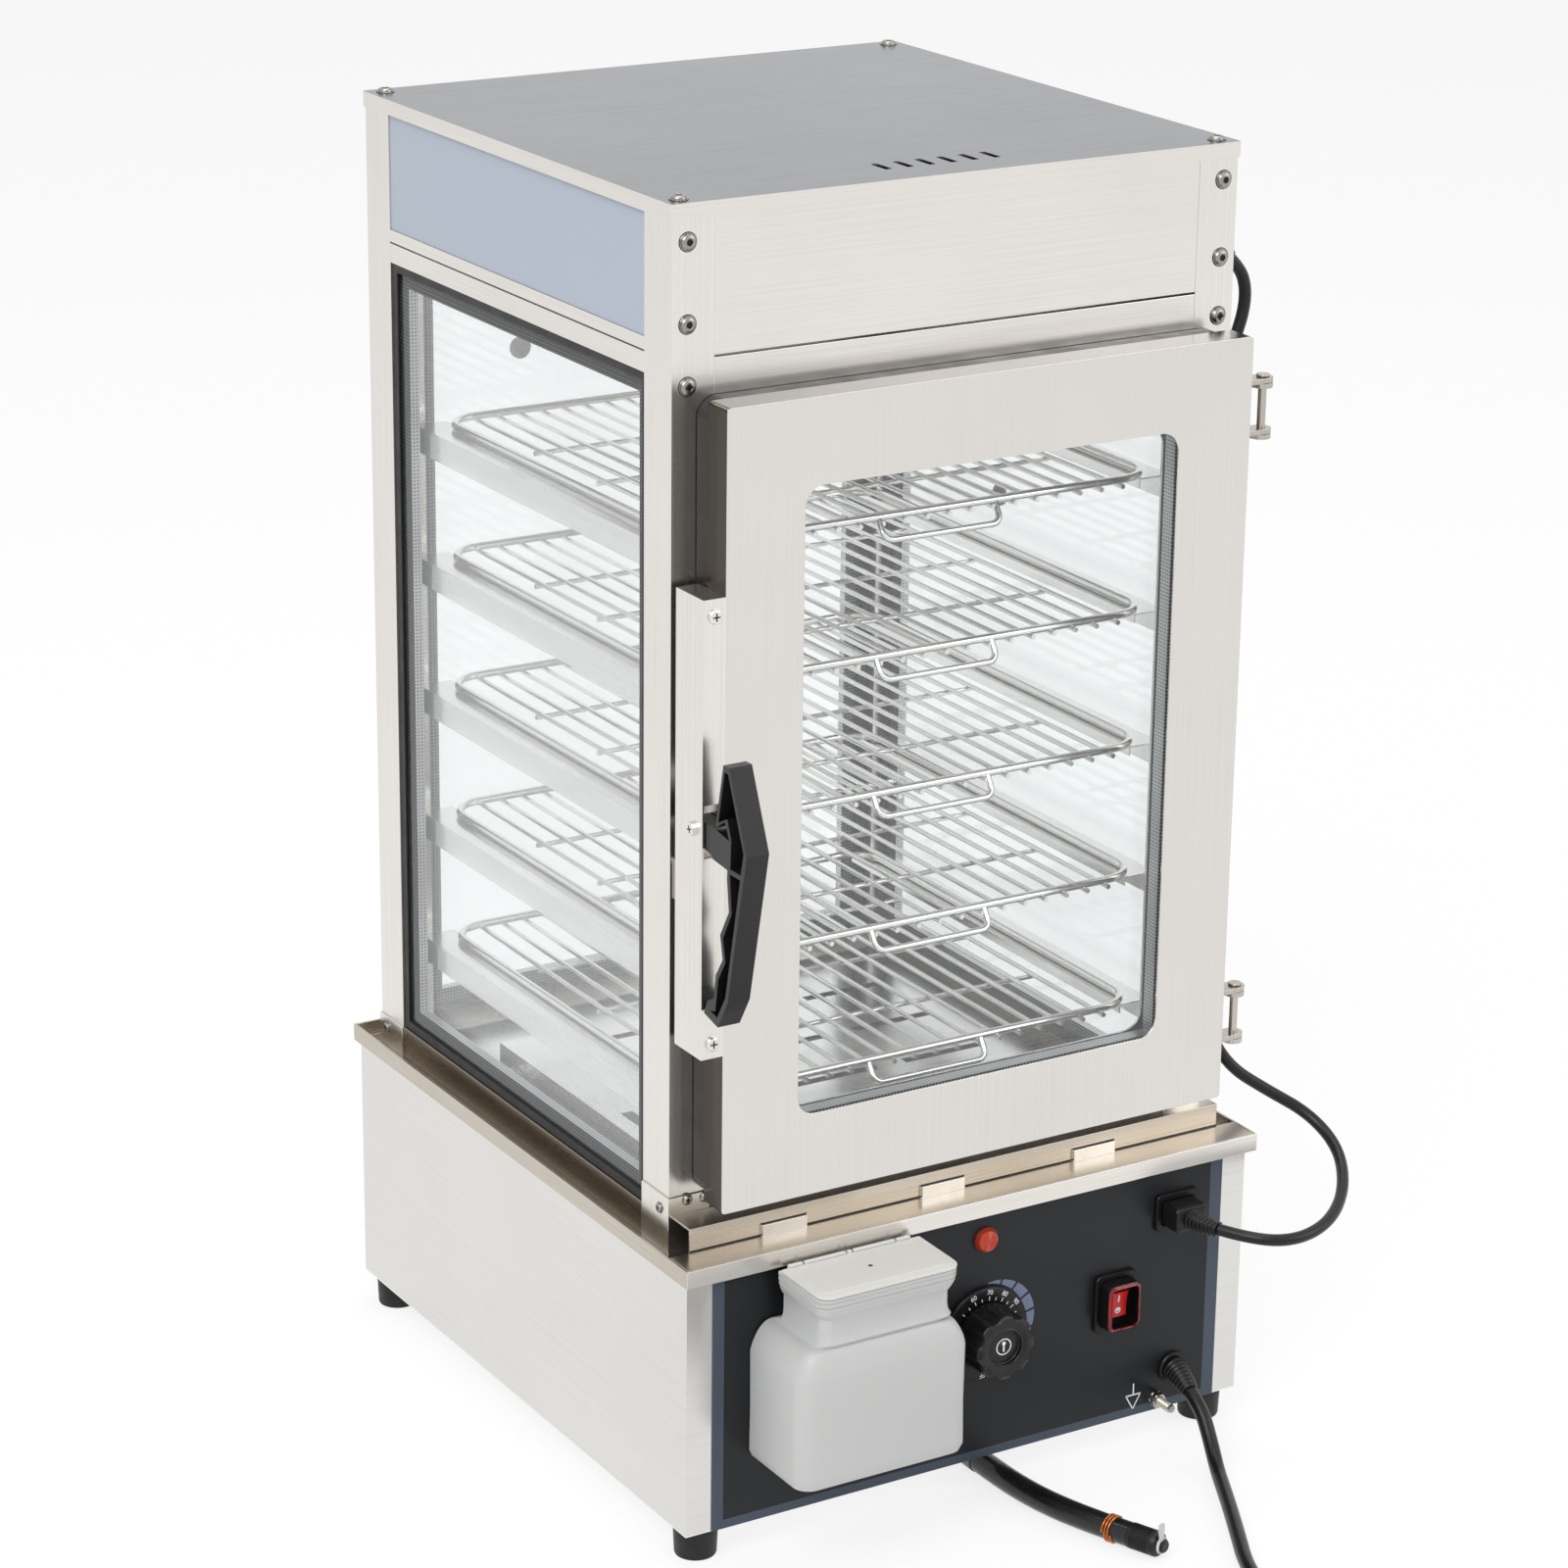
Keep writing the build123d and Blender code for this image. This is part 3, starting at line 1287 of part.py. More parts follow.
def mains_coil():
    """The rest of the mains cord, put away as one neat coil."""
    knots = coil_knots()
    edges = []
    for first, last in zip(knots, knots[1:]):
        edges += biarc(first[0], first[1], last[0], last[1])
    place, way = knots[-1]
    edges.append(Line(place, place + way * 2 * mains_radius))
    path = Wire(edges)
    print("mains coil length", round(path.length, 1), "gap between turns", coil_turn_gap)
    return tube(path, mains_radius)


def mains_cord():
    """Free stretch of the mains cord from the gland to the coil."""
    points = mains_points + [tuple(coil_start)]
    return tube(cord_path("mains cord", points), mains_radius)


def mains_plug():
    """Moulded two-pin plug lying beside the coil."""
    place, way = coil_knots()[-1]
    start = place + way * 2 * mains_radius
    half = start.Z
    plane = Plane(origin=start, x_dir=(-way.Y, way.X, 0), z_dir=way)
    relief = loft([plane * Circle(mains_radius + 0.6), plane.offset(48.0) * Circle(mains_radius + 3.6)])
    body = extrude(plane.offset(46.0) * RectangleRounded(34.0, 2 * half - 0.1, 9.0), 34.0)
    pins = []
    for side in (-9.5, 9.5):
        pins.append(extrude(plane.offset(79.0) * Pos(side, 0) * Circle(2.4), 20.0))
    return relief.fuse(body, *pins)


def earth_stud():
    """Bonding stud with its plain nuts."""
    stud = along_y(stud_x, stud_z, stud_radius, overlay_y - stud_reach, base_front_y + 8.0)
    for back_y in (overlay_y, overlay_y - nut_height - nut_gap):
        plane = Plane(origin=(stud_x, back_y, stud_z), z_dir=(0, -1, 0))
        stud += extrude(plane * RegularPolygon(nut_across / 2, 6), nut_height)
    return stud


def bottle_shape(inset):
    """The bottle's outer form, or its inside when inset by the wall."""
    back = overlay_y - inset
    front = overlay_y - bottle_depth + inset
    low = bottle_bottom_z + inset
    outline = [
        (back, low), (front, low), (front, bottle_front_top_z - inset),
        (front + 14.0, bottle_front_top_z + 15.0 - inset), (back, bottle_back_top_z - inset),
    ]
    width = bottle_right_x - bottle_left_x - 2 * inset
    body = extrude(side_face(outline, bottle_left_x + inset), width, dir=(1, 0, 0))
    long_edges = body.edges().filter_by(Axis.Z).sort_by(Axis.Y)
    body = fillet(long_edges[:2], bottle_corner - inset)
    body = fillet(body.faces().sort_by(Axis.Z)[0].edges(), bottle_corner / 2 - inset / 2)
    return body


def bottle_neck(inset, top):
    """The neck's block, up to a given level."""
    half = neck_width / 2 - inset
    y1 = overlay_y - neck_gap - inset
    y0 = overlay_y - neck_gap - neck_depth + inset
    neck = span((neck_mid_x - half, neck_mid_x + half), (y0, y1), (bottle_front_top_z - 10, top))
    return fillet(neck.edges().filter_by(Axis.Z), 8.0 - inset)


def water_bottle():
    """Translucent filling bottle on the front panel."""
    outer = bottle_shape(0.0) + bottle_neck(0.0, neck_top_z)
    collar_y = (overlay_y - neck_gap - lid_depth, overlay_y - neck_gap + 0.5)
    collar = span(lid_x, collar_y, (neck_top_z - collar_height, neck_top_z))
    outer += fillet(collar.edges().filter_by(Axis.Z), 8.0)
    inner = bottle_shape(bottle_wall) + bottle_neck(bottle_wall, neck_top_z + 1)
    bottle = outer - inner
    wall = (overlay_y - bottle_wall - 1, overlay_y + 1)
    return bottle - along_y(bottle_mid_x, inlet_z, inlet_radius + fit, *wall)


def bottle_lid():
    """Flip lid with its hinge barrel and small vent."""
    z0 = neck_top_z + lid_gap
    y0 = overlay_y - neck_gap - lid_depth
    plate = span(lid_x, (y0, lid_hinge_y), (z0, z0 + lid_thickness))
    plate = fillet(plate.edges().filter_by(Axis.Z).sort_by(Axis.Y)[:2], 8.0)
    left, right = lid_x[0] + 6, lid_x[1] - 6
    lid = plate + rod((left, lid_hinge_y, lid_hinge_z), (right, lid_hinge_y, lid_hinge_z), lid_barrel_radius)
    return lid - along_z(neck_mid_x, y0 + lid_depth / 2, lid_vent_radius, z0 - 1, z0 + lid_thickness + 1)


def water_inlet():
    """Pipe from the bottle to the tank."""
    ends = (overlay_y - bottle_wall - 1.0, tank_front_y + tank_sheet + 2.0)
    pipe = along_y(bottle_mid_x, inlet_z, inlet_radius, *ends)
    return pipe - along_y(bottle_mid_x, inlet_z, inlet_radius - 1.5, overlay_y - 30, tank_front_y + 30)


def drain_fitting():
    """Drain pipe from the tank's bottom, its elbow and the hose's collar."""
    down = along_z(drain_x, drain_y, drain_pipe_radius, hose_z, tank_bottom)
    elbow = span(
        (drain_x - 7.5, drain_x + 7.5), (drain_y - 7.5, drain_y + 7.5), (hose_z - 7.5, hose_z + 7.5)
    )
    run = along_y(drain_x, hose_z, drain_pipe_radius, hose_start_y, drain_y)
    collar = along_y(drain_x, hose_z, hose_radius + 0.5, hose_start_y, hose_start_y + collar_length)
    fitting = down + elbow + run + collar
    return fitting - along_z(drain_x, drain_y, drain_pipe_radius - 1.5, hose_z, tank_bottom + 1)


def hose_end():
    """Where the hose ends, and its direction there."""
    last, before = Vector(*hose_points[-1]), Vector(*hose_points[-2])
    return last, (last - before).normalized()


def drain_hose():
    """Black rubber hose with its bore."""
    path = cord_path("drain hose", hose_points)
    return tube(path, hose_radius) - tube(path, hose_bore)


def hose_clamp():
    """Two turns of a copper wire clamp near the hose's end."""
    place, way = hose_end()
    rings = []
    for back in clamp_backs:
        ring = extrude(Plane(origin=place - way * back, z_dir=way) * Circle(hose_radius + 1.1), 2.0)
        ring -= extrude(Plane(origin=place - way * (back + 1), z_dir=way) * Circle(hose_radius), 4.0)
        rings.append(ring)
    return Compound(children=rings)


def drain_cap():
    """Ribbed cap that closes the hose, with its end plug and pull tab."""
    place, way = hose_end()
    plane = Plane(origin=place, z_dir=way)
    cap = extrude(plane * Circle(hose_radius + 0.3), cap_length)
    for index in range(8):
        groove = extrude(plane.offset(3.0 + 1.6 * index) * (Circle(20) - Circle(hose_radius - 0.2)), 0.7)
        cap -= groove
    cap += extrude(plane.offset(cap_length) * Circle(4.2), 4.0)
    cap += extrude(plane.offset(-cap_plug_length) * Circle(hose_bore - fit), cap_plug_length + 1)
    return cap


makers = [
    base_shell, base_floor, feet, control_overlay, rim_tray, front_gutter, water_tank,
    heating_element, thermostat, terminal_block, tank_cover, wing_knob, corner_posts, corner_shoes,
    frame_screws, top_cover, fascia, cabinet_rails, light_panels, light_tube,
    chamber_glass, glass_spacers, glass_gaskets, rack_rails, door_pan, door_frame, door_panes,
    door_spacer, door_gasket, hinge_brackets, door_hinge_lugs, latch_box, latch_lever,
    latch_strike, indicator_lamp, dial_plate, thermostat_knob, switch_housing, switch_boot, rocker,
    output_socket, output_plug, output_cord, cord_glands, mains_cord, mains_coil, mains_plug,
    earth_stud, water_bottle, bottle_lid, water_inlet, drain_fitting, drain_hose, hose_clamp,
    drain_cap,
]

os.makedirs("parts", exist_ok=True)
for maker in makers:
    export_step(maker(), f"parts/{maker.__name__}.step")
for index, rack_z in enumerate(rack_zs):
    export_step(wire_rack(rack_z), f"parts/rack_{index + 1}.step")
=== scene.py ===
import logging
import math
from dataclasses import dataclass, field
from enum import Enum
from typing import Callable, Iterable, Optional, Sequence

import bmesh
import bpy
from bmesh.types import BMesh
from bpy.types import Material, Mesh, Node, NodeSocket, NodeTree, Object
from mathutils import Matrix, Vector


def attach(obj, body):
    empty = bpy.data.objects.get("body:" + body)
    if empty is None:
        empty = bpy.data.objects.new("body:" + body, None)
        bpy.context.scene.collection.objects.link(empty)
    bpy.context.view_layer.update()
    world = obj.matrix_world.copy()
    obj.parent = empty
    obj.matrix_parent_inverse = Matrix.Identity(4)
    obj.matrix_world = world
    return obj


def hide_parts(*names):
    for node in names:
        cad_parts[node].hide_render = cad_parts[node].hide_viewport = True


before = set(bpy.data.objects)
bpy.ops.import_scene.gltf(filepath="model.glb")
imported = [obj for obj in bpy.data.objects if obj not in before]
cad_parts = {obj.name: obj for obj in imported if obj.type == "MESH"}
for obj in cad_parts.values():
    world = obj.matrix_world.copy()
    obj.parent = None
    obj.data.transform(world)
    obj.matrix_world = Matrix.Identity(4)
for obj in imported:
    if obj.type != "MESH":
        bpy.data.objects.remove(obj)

logging.basicConfig(level=logging.INFO, format="%(name)s: %(message)s")
log = logging.getLogger("warmer")
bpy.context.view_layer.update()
MM = 0.001
Pair = tuple[float, float]
Triple = tuple[float, float, float]

# Planes of the cabinet that several pieces share, in millimetres
OVERLAY_Y = -224.1
FRONT_Y = -185.2
HALF_WIDTH = 186.5
RACK_LEVELS = (598.0, 515.0, 432.0, 349.0, 266.0)

# Edge that a press brake leaves on thin sheet, and the flattest fold that still shows as an edge
SHEET_EDGE = 0.35
SMOOTH_DEG = 32.0


def linear(code: str) -> tuple[float, float, float, float]:
    """Turns an sRGB hex colour to linear red, green, blue and alpha."""
    channels = [int(code[i:i + 2], 16) / 255 for i in (1, 3, 5)]
    lit = [c / 12.92 if c <= 0.04045 else ((c + 0.055) / 1.055) ** 2.4 for c in channels]
    return (*lit, 1.0)


def show(name: str, data: bpy.types.ID) -> Object:
    """Adds an object with its data to the scene."""
    made = bpy.data.objects.new(name, data)
    bpy.context.scene.collection.objects.link(made)
    return made


def evaluated(holder: Object) -> Mesh:
    """Returns the plain mesh that an object shows, and removes the object."""
    bpy.context.view_layer.update()
    result = bpy.data.meshes.new_from_object(holder.evaluated_get(bpy.context.evaluated_depsgraph_get()))
    bpy.data.objects.remove(holder)
    return result


def add(tree: NodeTree, kind: str, inputs: Optional[dict] = None, **settings) -> Node:
    """Adds a node with its settings and links.

    Args:
        tree: the tree that gets the node.
        kind: the node's type name.
        inputs: input name or index to a value, or to the output socket that feeds it.
        settings: properties of the node.

    Returns:
        The new node.
    """
    node = tree.nodes.new(kind)
    for name, value in settings.items():
        setattr(node, name, value)
    for key, value in (inputs or {}).items():
        if isinstance(value, NodeSocket):
            tree.links.new(value, node.inputs[key])
        else:
            node.inputs[key].default_value = value
    return node


def cleared(owner: bpy.types.ID) -> NodeTree:
    """Turns on a material's or a world's nodes and returns its emptied tree."""
    owner.use_nodes = True
    owner.node_tree.nodes.clear()
    return owner.node_tree


def calc(tree: NodeTree, operation: str, first: object, second: object) -> NodeSocket:
    """Adds a Math node and returns its result."""
    return add(tree, "ShaderNodeMath", {0: first, 1: second}, operation=operation).outputs[0]


def vector(tree: NodeTree, operation: str, *inputs: object, **named: float) -> Node:
    """Adds a Vector Math node."""
    return add(tree, "ShaderNodeVectorMath", {**dict(enumerate(inputs)), **named}, operation=operation)


def noise(tree: NodeTree, place: NodeSocket, scale: float, detail: float, **more: float) -> NodeSocket:
    """Adds a noise and returns its pattern."""
    values = {"Vector": place, "Scale": scale, "Detail": detail, **more}
    return add(tree, "ShaderNodeTexNoise", values).outputs[0]


def relief(tree: NodeTree, height: NodeSocket, strength: float, depth: float) -> NodeSocket:
    """Turns a pattern to the normal of a surface with that relief, its depth in metres."""
    return add(tree, "ShaderNodeBump", {"Height": height, "Strength": strength, "Distance": depth}).outputs[0]


def mixed(tree: NodeTree, share: NodeSocket, first: str, second: str) -> NodeSocket:
    """Mixes two hex colours by a pattern."""
    mix = add(tree, "ShaderNodeMix", {0: share}, data_type="RGBA")
    for index, code in ((6, first), (7, second)):
        mix.inputs[index].default_value = linear(code)
    return mix.outputs[2]


def layered(tree: NodeTree, share: NodeSocket, first: Node, second: Node) -> Node:
    """Mixes two shaders."""
    return add(tree, "ShaderNodeMixShader", {0: share, 1: first.outputs[0], 2: second.outputs[0]})


def spread(tree: NodeTree, source: NodeSocket, low: float, high: float) -> NodeSocket:
    """Maps a 0 to 1 pattern, as noise gives it between 0.3 and 0.7, to a range."""
    values = {"Value": source, "From Min": 0.3, "From Max": 0.7, "To Min": low, "To Max": high}
    return add(tree, "ShaderNodeMapRange", values).outputs[0]


class Axis(Enum):
    """Directions that a lathe, a grain or a face may have, as local z in the object's frame."""

    FRONT = (0, -1, 0)
    LEFT = (-1, 0, 0)
    RIGHT = (1, 0, 0)
    UP = (0, 0, 1)


class Grain(Enum):
    """Direction of the brushing, as pattern counts per metre along X, Y and Z."""

    ALONG_X = (6.0, 900.0, 900.0)
    LEVEL = (6.0, 6.0, 900.0)
    UPRIGHT = (900.0, 900.0, 6.0)


@dataclass(frozen=True)
class Finish:
    """A material with one Principled shader that reads Object coordinates, and its slot in the record."""

    name: str
    colour: str
    roughness: float = 0.4
    slot: str = field(default="stainless", kw_only=True)

    def coat(self, tree: NodeTree, place: NodeSocket, cloud: tuple[float, ...],
             skin: tuple[float, ...] = (), **values: object) -> Node:
        """Adds the Principled node with an uneven shine and a fine skin.

        Args:
            tree: the material's tree.
            place: Object coordinates.
            cloud: the shine's noise: scale, detail, and how far the roughness goes down and up.
            skin: the skin's noise: scale, detail, strength and depth in metres.
            values: further inputs, named with underscores for spaces.

        Returns:
            The Principled node.
        """
        scale, detail, down, up = cloud
        low, high = self.roughness - down, self.roughness + up
        inputs = {"Base Color": linear(self.colour),
                  "Roughness": spread(tree, noise(tree, place, scale, detail), low, high)}
        if skin:
            inputs["Normal"] = relief(tree, noise(tree, place, skin[0], skin[1]), skin[2], skin[3])
        inputs.update({name.replace("_", " "): value for name, value in values.items()})
        return add(tree, "ShaderNodeBsdfPrincipled", inputs)

    def shader(self, tree: NodeTree, place: NodeSocket) -> Node:
        """Adds the Principled node; each kind of finish gives it its own pattern."""
        raise NotImplementedError

    def surface(self, tree: NodeTree, shader: Node) -> NodeSocket:
        """Returns the socket that feeds the output."""
        return shader.outputs[0]

    def material(self) -> Material:
        """Returns the material, made the first time that it is asked for."""
        known = bpy.data.materials.get(self.name)
        if known:
            return known
        made = bpy.data.materials.new(self.name)
        tree = cleared(made)
        place = add(tree, "ShaderNodeTexCoord").outputs["Object"]
        shader = self.shader(tree, place)
        add(tree, "ShaderNodeOutputMaterial", {"Surface": self.surface(tree, shader)})
        made.diffuse_color = linear(self.colour)
        return made


@dataclass(frozen=True)
class BrushedStainless(Finish):
    """Cold-rolled 304 stainless with a fine linear polish.

    It reads as pale warm metal with streaks along the brushing and faint cloudy wipe marks.
    """

    grain: Grain = Grain.UPRIGHT
    darker: str = "#c9c4bc"
    streak: float = 0.05

    def shader(self, tree: NodeTree, place: NodeSocket) -> Node:
        """Adds streaks 1.1 mm apart, coarser than the real grit so that they show, and wipe marks."""
        long = add(tree, "ShaderNodeMapping", {"Vector": place, "Scale": self.grain.value})
        streaks = noise(tree, long.outputs[0], 1.0, 3.0)
        cloud = noise(tree, place, 7.0, 4.0, Roughness=0.6)
        half = calc(tree, "MULTIPLY", calc(tree, "ADD", streaks, cloud), 0.5)
        return add(tree, "ShaderNodeBsdfPrincipled", {
            "Base Color": mixed(tree, spread(tree, half, 0.0, 1.0), self.colour, self.darker),
            "Roughness": spread(tree, half, self.roughness - self.streak, self.roughness + self.streak),
            "Metallic": 1.0, "Normal": relief(tree, streaks, 0.06, 0.0002)})


@dataclass(frozen=True)
class DrawnSteel(Finish):
    """Turned or drawn bright steel, as screws, pins and chrome-plated wire: a sharp, even shine."""

    slot: str = field(default="polished_steel", kw_only=True)

    def shader(self, tree: NodeTree, place: NodeSocket) -> Node:
        """Adds a slight unevenness of the shine every few millimetres."""
        return self.coat(tree, place, (160.0, 2.0, 0.04, 0.05), Metallic=1.0)


@dataclass(frozen=True)
class MouldedPlastic(Finish):
    """Injection-moulded ABS or polyamide, with a spark-eroded texture of fine pits."""

    pit_mm: float = 0.6
    depth: float = 0.12
    shine: float = 0.5
    slot: str = field(default="black_plastic", kw_only=True)

    def shader(self, tree: NodeTree, place: NodeSocket) -> Node:
        """Adds the mould's grain and a soft variation of the shine."""
        pits = (1.0 / (self.pit_mm * MM), 2.0, self.depth, 0.0002)
        return self.coat(tree, place, (40.0, 3.0, 0.05, 0.06), pits, Specular_IOR_Level=self.shine)


@dataclass(frozen=True)
class Rubber(Finish):
    """Extruded or moulded black rubber: dull, a little dusty, with a soft grazing sheen."""

    shine: float = 0.35
    slot: str = field(default="black_rubber", kw_only=True)

    def shader(self, tree: NodeTree, place: NodeSocket) -> Node:
        """Adds a fine skin and a faint bloom."""
        return self.coat(tree, place, (60.0, 4.0, 0.08, 0.08), (1800.0, 2.0, 0.15, 0.0001),
                         Specular_IOR_Level=self.shine, Sheen_Weight=0.06, Sheen_Roughness=0.5)


@dataclass(frozen=True)
class FloatGlass(Finish):
    """Clear float glass, which lets the lamps' light through to what stands behind it."""

    def shader(self, tree: NodeTree, place: NodeSocket) -> Node:
        """Adds clear glass with the faint cool tint of its iron."""
        return add(tree, "ShaderNodeBsdfPrincipled", {
            "Base Color": linear(self.colour), "Roughness": 0.0, "IOR": 1.45, "Transmission Weight": 1.0})

    def surface(self, tree: NodeTree, shader: Node) -> NodeSocket:
        """Mixes in clear passage for rays from lamps."""
        path = add(tree, "ShaderNodeLightPath")
        soft = calc(tree, "MAXIMUM", path.outputs["Is Shadow Ray"], path.outputs["Is Diffuse Ray"])
        clear = add(tree, "ShaderNodeBsdfTransparent", {"Color": linear("#fcfdfc")})
        return layered(tree, soft, shader, clear).outputs[0]


@dataclass(frozen=True)
class ThinPolymer(Finish):
    """Blow-moulded polyethylene or thin PVC: milky, and some light comes through its wall."""

    passes: float = 0.35
    wall_mm: float = 2.0
    slot: str = field(default="bottle_plastic", kw_only=True)

    def shader(self, tree: NodeTree, place: NodeSocket) -> Node:
        """Adds an uneven wall by noise, with light spread inside it."""
        return self.coat(tree, place, (28.0, 3.0, 0.06, 0.06), (600.0, 2.0, 0.05, 0.0002),
                         Transmission_Weight=self.passes, IOR=1.5,
                         Subsurface_Weight=0.25, Subsurface_Scale=self.wall_mm * MM)


@dataclass(frozen=True)
class PerforatedSpacer(Finish):
    """Rolled aluminium spacer bar with rows of pin holes 2.2 mm apart."""

    pitch_mm: float = 2.2

    def shader(self, tree: NodeTree, place: NodeSocket) -> Node:
        """Paints shade as dark dots in a square grid of small holes on whichever face is looked at."""
        normal = add(tree, "ShaderNodeNewGeometry").outputs["True Normal"]
        flat = vector(tree, "ABSOLUTE", normal)
        aside = vector(tree, "SUBTRACT", (1.0, 1.0, 1.0), flat.outputs[0])
        step = vector(tree, "SCALE", place, Scale=1.0 / (self.pitch_mm * MM))
        cell = vector(tree, "FRACTION", step.outputs[0])
        middle = vector(tree, "SUBTRACT", cell.outputs[0], (0.5, 0.5, 0.5))
        plane = vector(tree, "MULTIPLY", middle.outputs[0], aside.outputs[0])
        reach = vector(tree, "LENGTH", plane.outputs[0]).outputs["Value"]
        hole_shade = add(tree, "ShaderNodeMapRange", {"Value": reach, "From Min": 0.2, "From Max": 0.28})
        return add(tree, "ShaderNodeBsdfPrincipled", {
            "Base Color": mixed(tree, hole_shade.outputs[0], "#3b3d40", self.colour),
            "Roughness": self.roughness, "Metallic": 0.9})


@dataclass(frozen=True)
class PrintedPolyester(Finish):
    """Screen-printed polyester overlay: a charcoal field in a slate border, satin under a thin lacquer."""

    border: str = "#424b58"
    field_mm: tuple[float, float, float, float] = (-171.9, 170.4, 25.7, 190.0)

    def shader(self, tree: NodeTree, place: NodeSocket) -> Node:
        """Prints the field and its border by their edges in millimetres."""
        parts = add(tree, "ShaderNodeSeparateXYZ", {0: place})
        left, right, low, high = self.field_mm
        inside = calc(tree, "GREATER_THAN", parts.outputs[0], left * MM)
        for axis, edge, side in ((0, right, "LESS_THAN"), (2, low, "GREATER_THAN"), (2, high, "LESS_THAN")):
            inside = calc(tree, "MULTIPLY", inside, calc(tree, side, parts.outputs[axis], edge * MM))
        return self.coat(tree, place, (14.0, 4.0, 0.05, 0.07), (900.0, 2.0, 0.05, 0.0001),
                         Base_Color=mixed(tree, inside, self.border, self.colour), Specular_IOR_Level=0.28)


STEEL_UPRIGHT = BrushedStainless("stainless, brushed upright", "#e9e6e1", 0.24, Grain.UPRIGHT, "#dedad4", 0.04)
STEEL_ACROSS = BrushedStainless("stainless, brushed across", "#e9e5e0", 0.24, Grain.LEVEL, "#dedad4", 0.04)
STEEL_BASE = BrushedStainless("stainless, base", "#dfdedb", 0.22, Grain.LEVEL, "#d8d6d2", 0.03)
# Grey copy of the stainless for the top cover's upward faces: a painted dim reflection, not another metal.
STEEL_TOP_PAINTED_REFLECTION = BrushedStainless("stainless, top cover, painted grey reflection", "#83878c", 0.22, Grain.ALONG_X, "#7b7f84", 0.04)
STEEL_RIM = BrushedStainless("stainless, drip rim", "#cbc4b9", 0.26, Grain.LEVEL, "#bcb3a7", 0.05)
# Darker copy of the rails' stainless: painted shade on their low faces.
STEEL_SHADE = BrushedStainless("stainless, low rail, painted shade", "#a39a8d", 0.26, Grain.LEVEL, "#8f8678", 0.05)
STEEL_DOOR = BrushedStainless("stainless, polished door", "#dddad6", 0.09, Grain.UPRIGHT, "#d6d3ce", 0.03)
# Dark brown copy of the door's steel for its left side flange: painted shade and dark reflection.
STEEL_FOLD_PAINTED_REFLECTION = BrushedStainless("stainless, door's side fold, painted dark reflection", "#4b443d", 0.16, Grain.UPRIGHT, "#3e3832", 0.04)
# Grey copy of the door's steel for its upward top fold under the fascia: painted shade.
STEEL_LEDGE_PAINTED_SHADE = BrushedStainless("stainless, door's top fold, painted shade", "#8b8988", 0.2, Grain.ALONG_X, "#7c7a79", 0.04)
STEEL_INSIDE = BrushedStainless("stainless, inner parts", "#f0f0ee", 0.2, Grain.LEVEL, "#e2e2df", 0.04)
STEEL_HINGE = BrushedStainless("stainless, hinge", "#c9c4bd", 0.24, Grain.UPRIGHT, "#aaa49b", 0.05)
BRIGHT = DrawnSteel("bright plated steel", "#dcdad6", 0.14)
SCREW = DrawnSteel("passivated screw steel", "#9b9893", 0.26)
WIRE = DrawnSteel("bright wire", "#e4e3e1", 0.16, slot="chrome_wire")
NUT = DrawnSteel("zinc-plated steel", "#b7b3aa", 0.28)
COPPER = DrawnSteel("copper wire", "#b9703f", 0.26, slot="copper")
GLASS = FloatGlass("float glass", "#feffff")
SPACER = PerforatedSpacer("perforated aluminium spacer", "#c4c6c8", 0.36)
GASKET = Rubber("EPDM channel gasket", "#0e0e10", 0.45)
SEAL = Rubber("silicone door seal", "#0b0b0c", 0.36)
FOOT = Rubber("rubber foot", "#141416", 0.6)
CORD = Rubber("PVC cord sheath", "#0d0d0e", 0.36)
HOSE = Rubber("EPDM hose", "#08080a", 0.26, 0.5)
PVC = MouldedPlastic("moulded PVC", "#101011", 0.36, 0.7, 0.12, 0.35, slot="black_rubber")
HANDLE = MouldedPlastic("ABS handle", "#161617", 0.34, 0.8, 0.16, 0.4)
KNOB = MouldedPlastic("phenolic knob", "#121213", 0.32, 0.9, 0.06, 0.4)
DIAL = MouldedPlastic("ABS dial", "#0f0f11", 0.36, 0.6, 0.12, 0.35)
BODY_BLACK = MouldedPlastic("polyamide housing", "#0b0b0c", 0.4, 0.6, 0.12, 0.3)
GREY_RUBBER = Rubber("grey hose collar", "#6f6f6e", 0.5, slot="grey_rubber")
LIGHT_PANEL = MouldedPlastic("opal acrylic", "#a2abb9", 0.2, 1.2, 0.02, slot="frosted_panel")
TUBE = MouldedPlastic("opal diffuser", "#e8e8e4", 0.35, 1.2, 0.02, slot="opal_tube")
INK = MouldedPlastic("white screen ink", "#e9ebee", 0.5, 0.5, 0.05, slot="charcoal_print")
SLATE_INK = MouldedPlastic("slate screen ink", "#66718a", 0.5, 0.5, 0.05, slot="charcoal_print")
OVERLAY = PrintedPolyester("printed overlay", "#191b1f", 0.34)
BOTTLE = ThinPolymer("blow-moulded polyethylene", "#c7c8c7", 0.42, 0.15, 3.0)
LID = MouldedPlastic("polypropylene lid", "#cfcdc9", 0.4, 0.9, 0.05, slot="bottle_plastic")
BOOT = ThinPolymer("red PVC cover", "#dc2a2c", 0.1, 0.85, 1.0, slot="red_boot")
ROCKER_RED = MouldedPlastic("red polycarbonate rocker", "#c4161c", 0.25, 0.9, 0.03, slot="red_boot")
LENS = ThinPolymer("orange-red acrylic lens", "#c8401e", 0.16, 0.25, 2.0, slot="red_lens")
LENS_RIM = MouldedPlastic("dark red lens rim", "#6a2016", 0.3, slot="red_lens")
CLEAR = ThinPolymer("clear polycarbonate", "#f2f4f4", 0.08, 0.85, 2.0, slot="clear_plastic")
TERMINAL = MouldedPlastic("polyamide terminals", "#e6e3da", 0.45, slot="bottle_plastic")


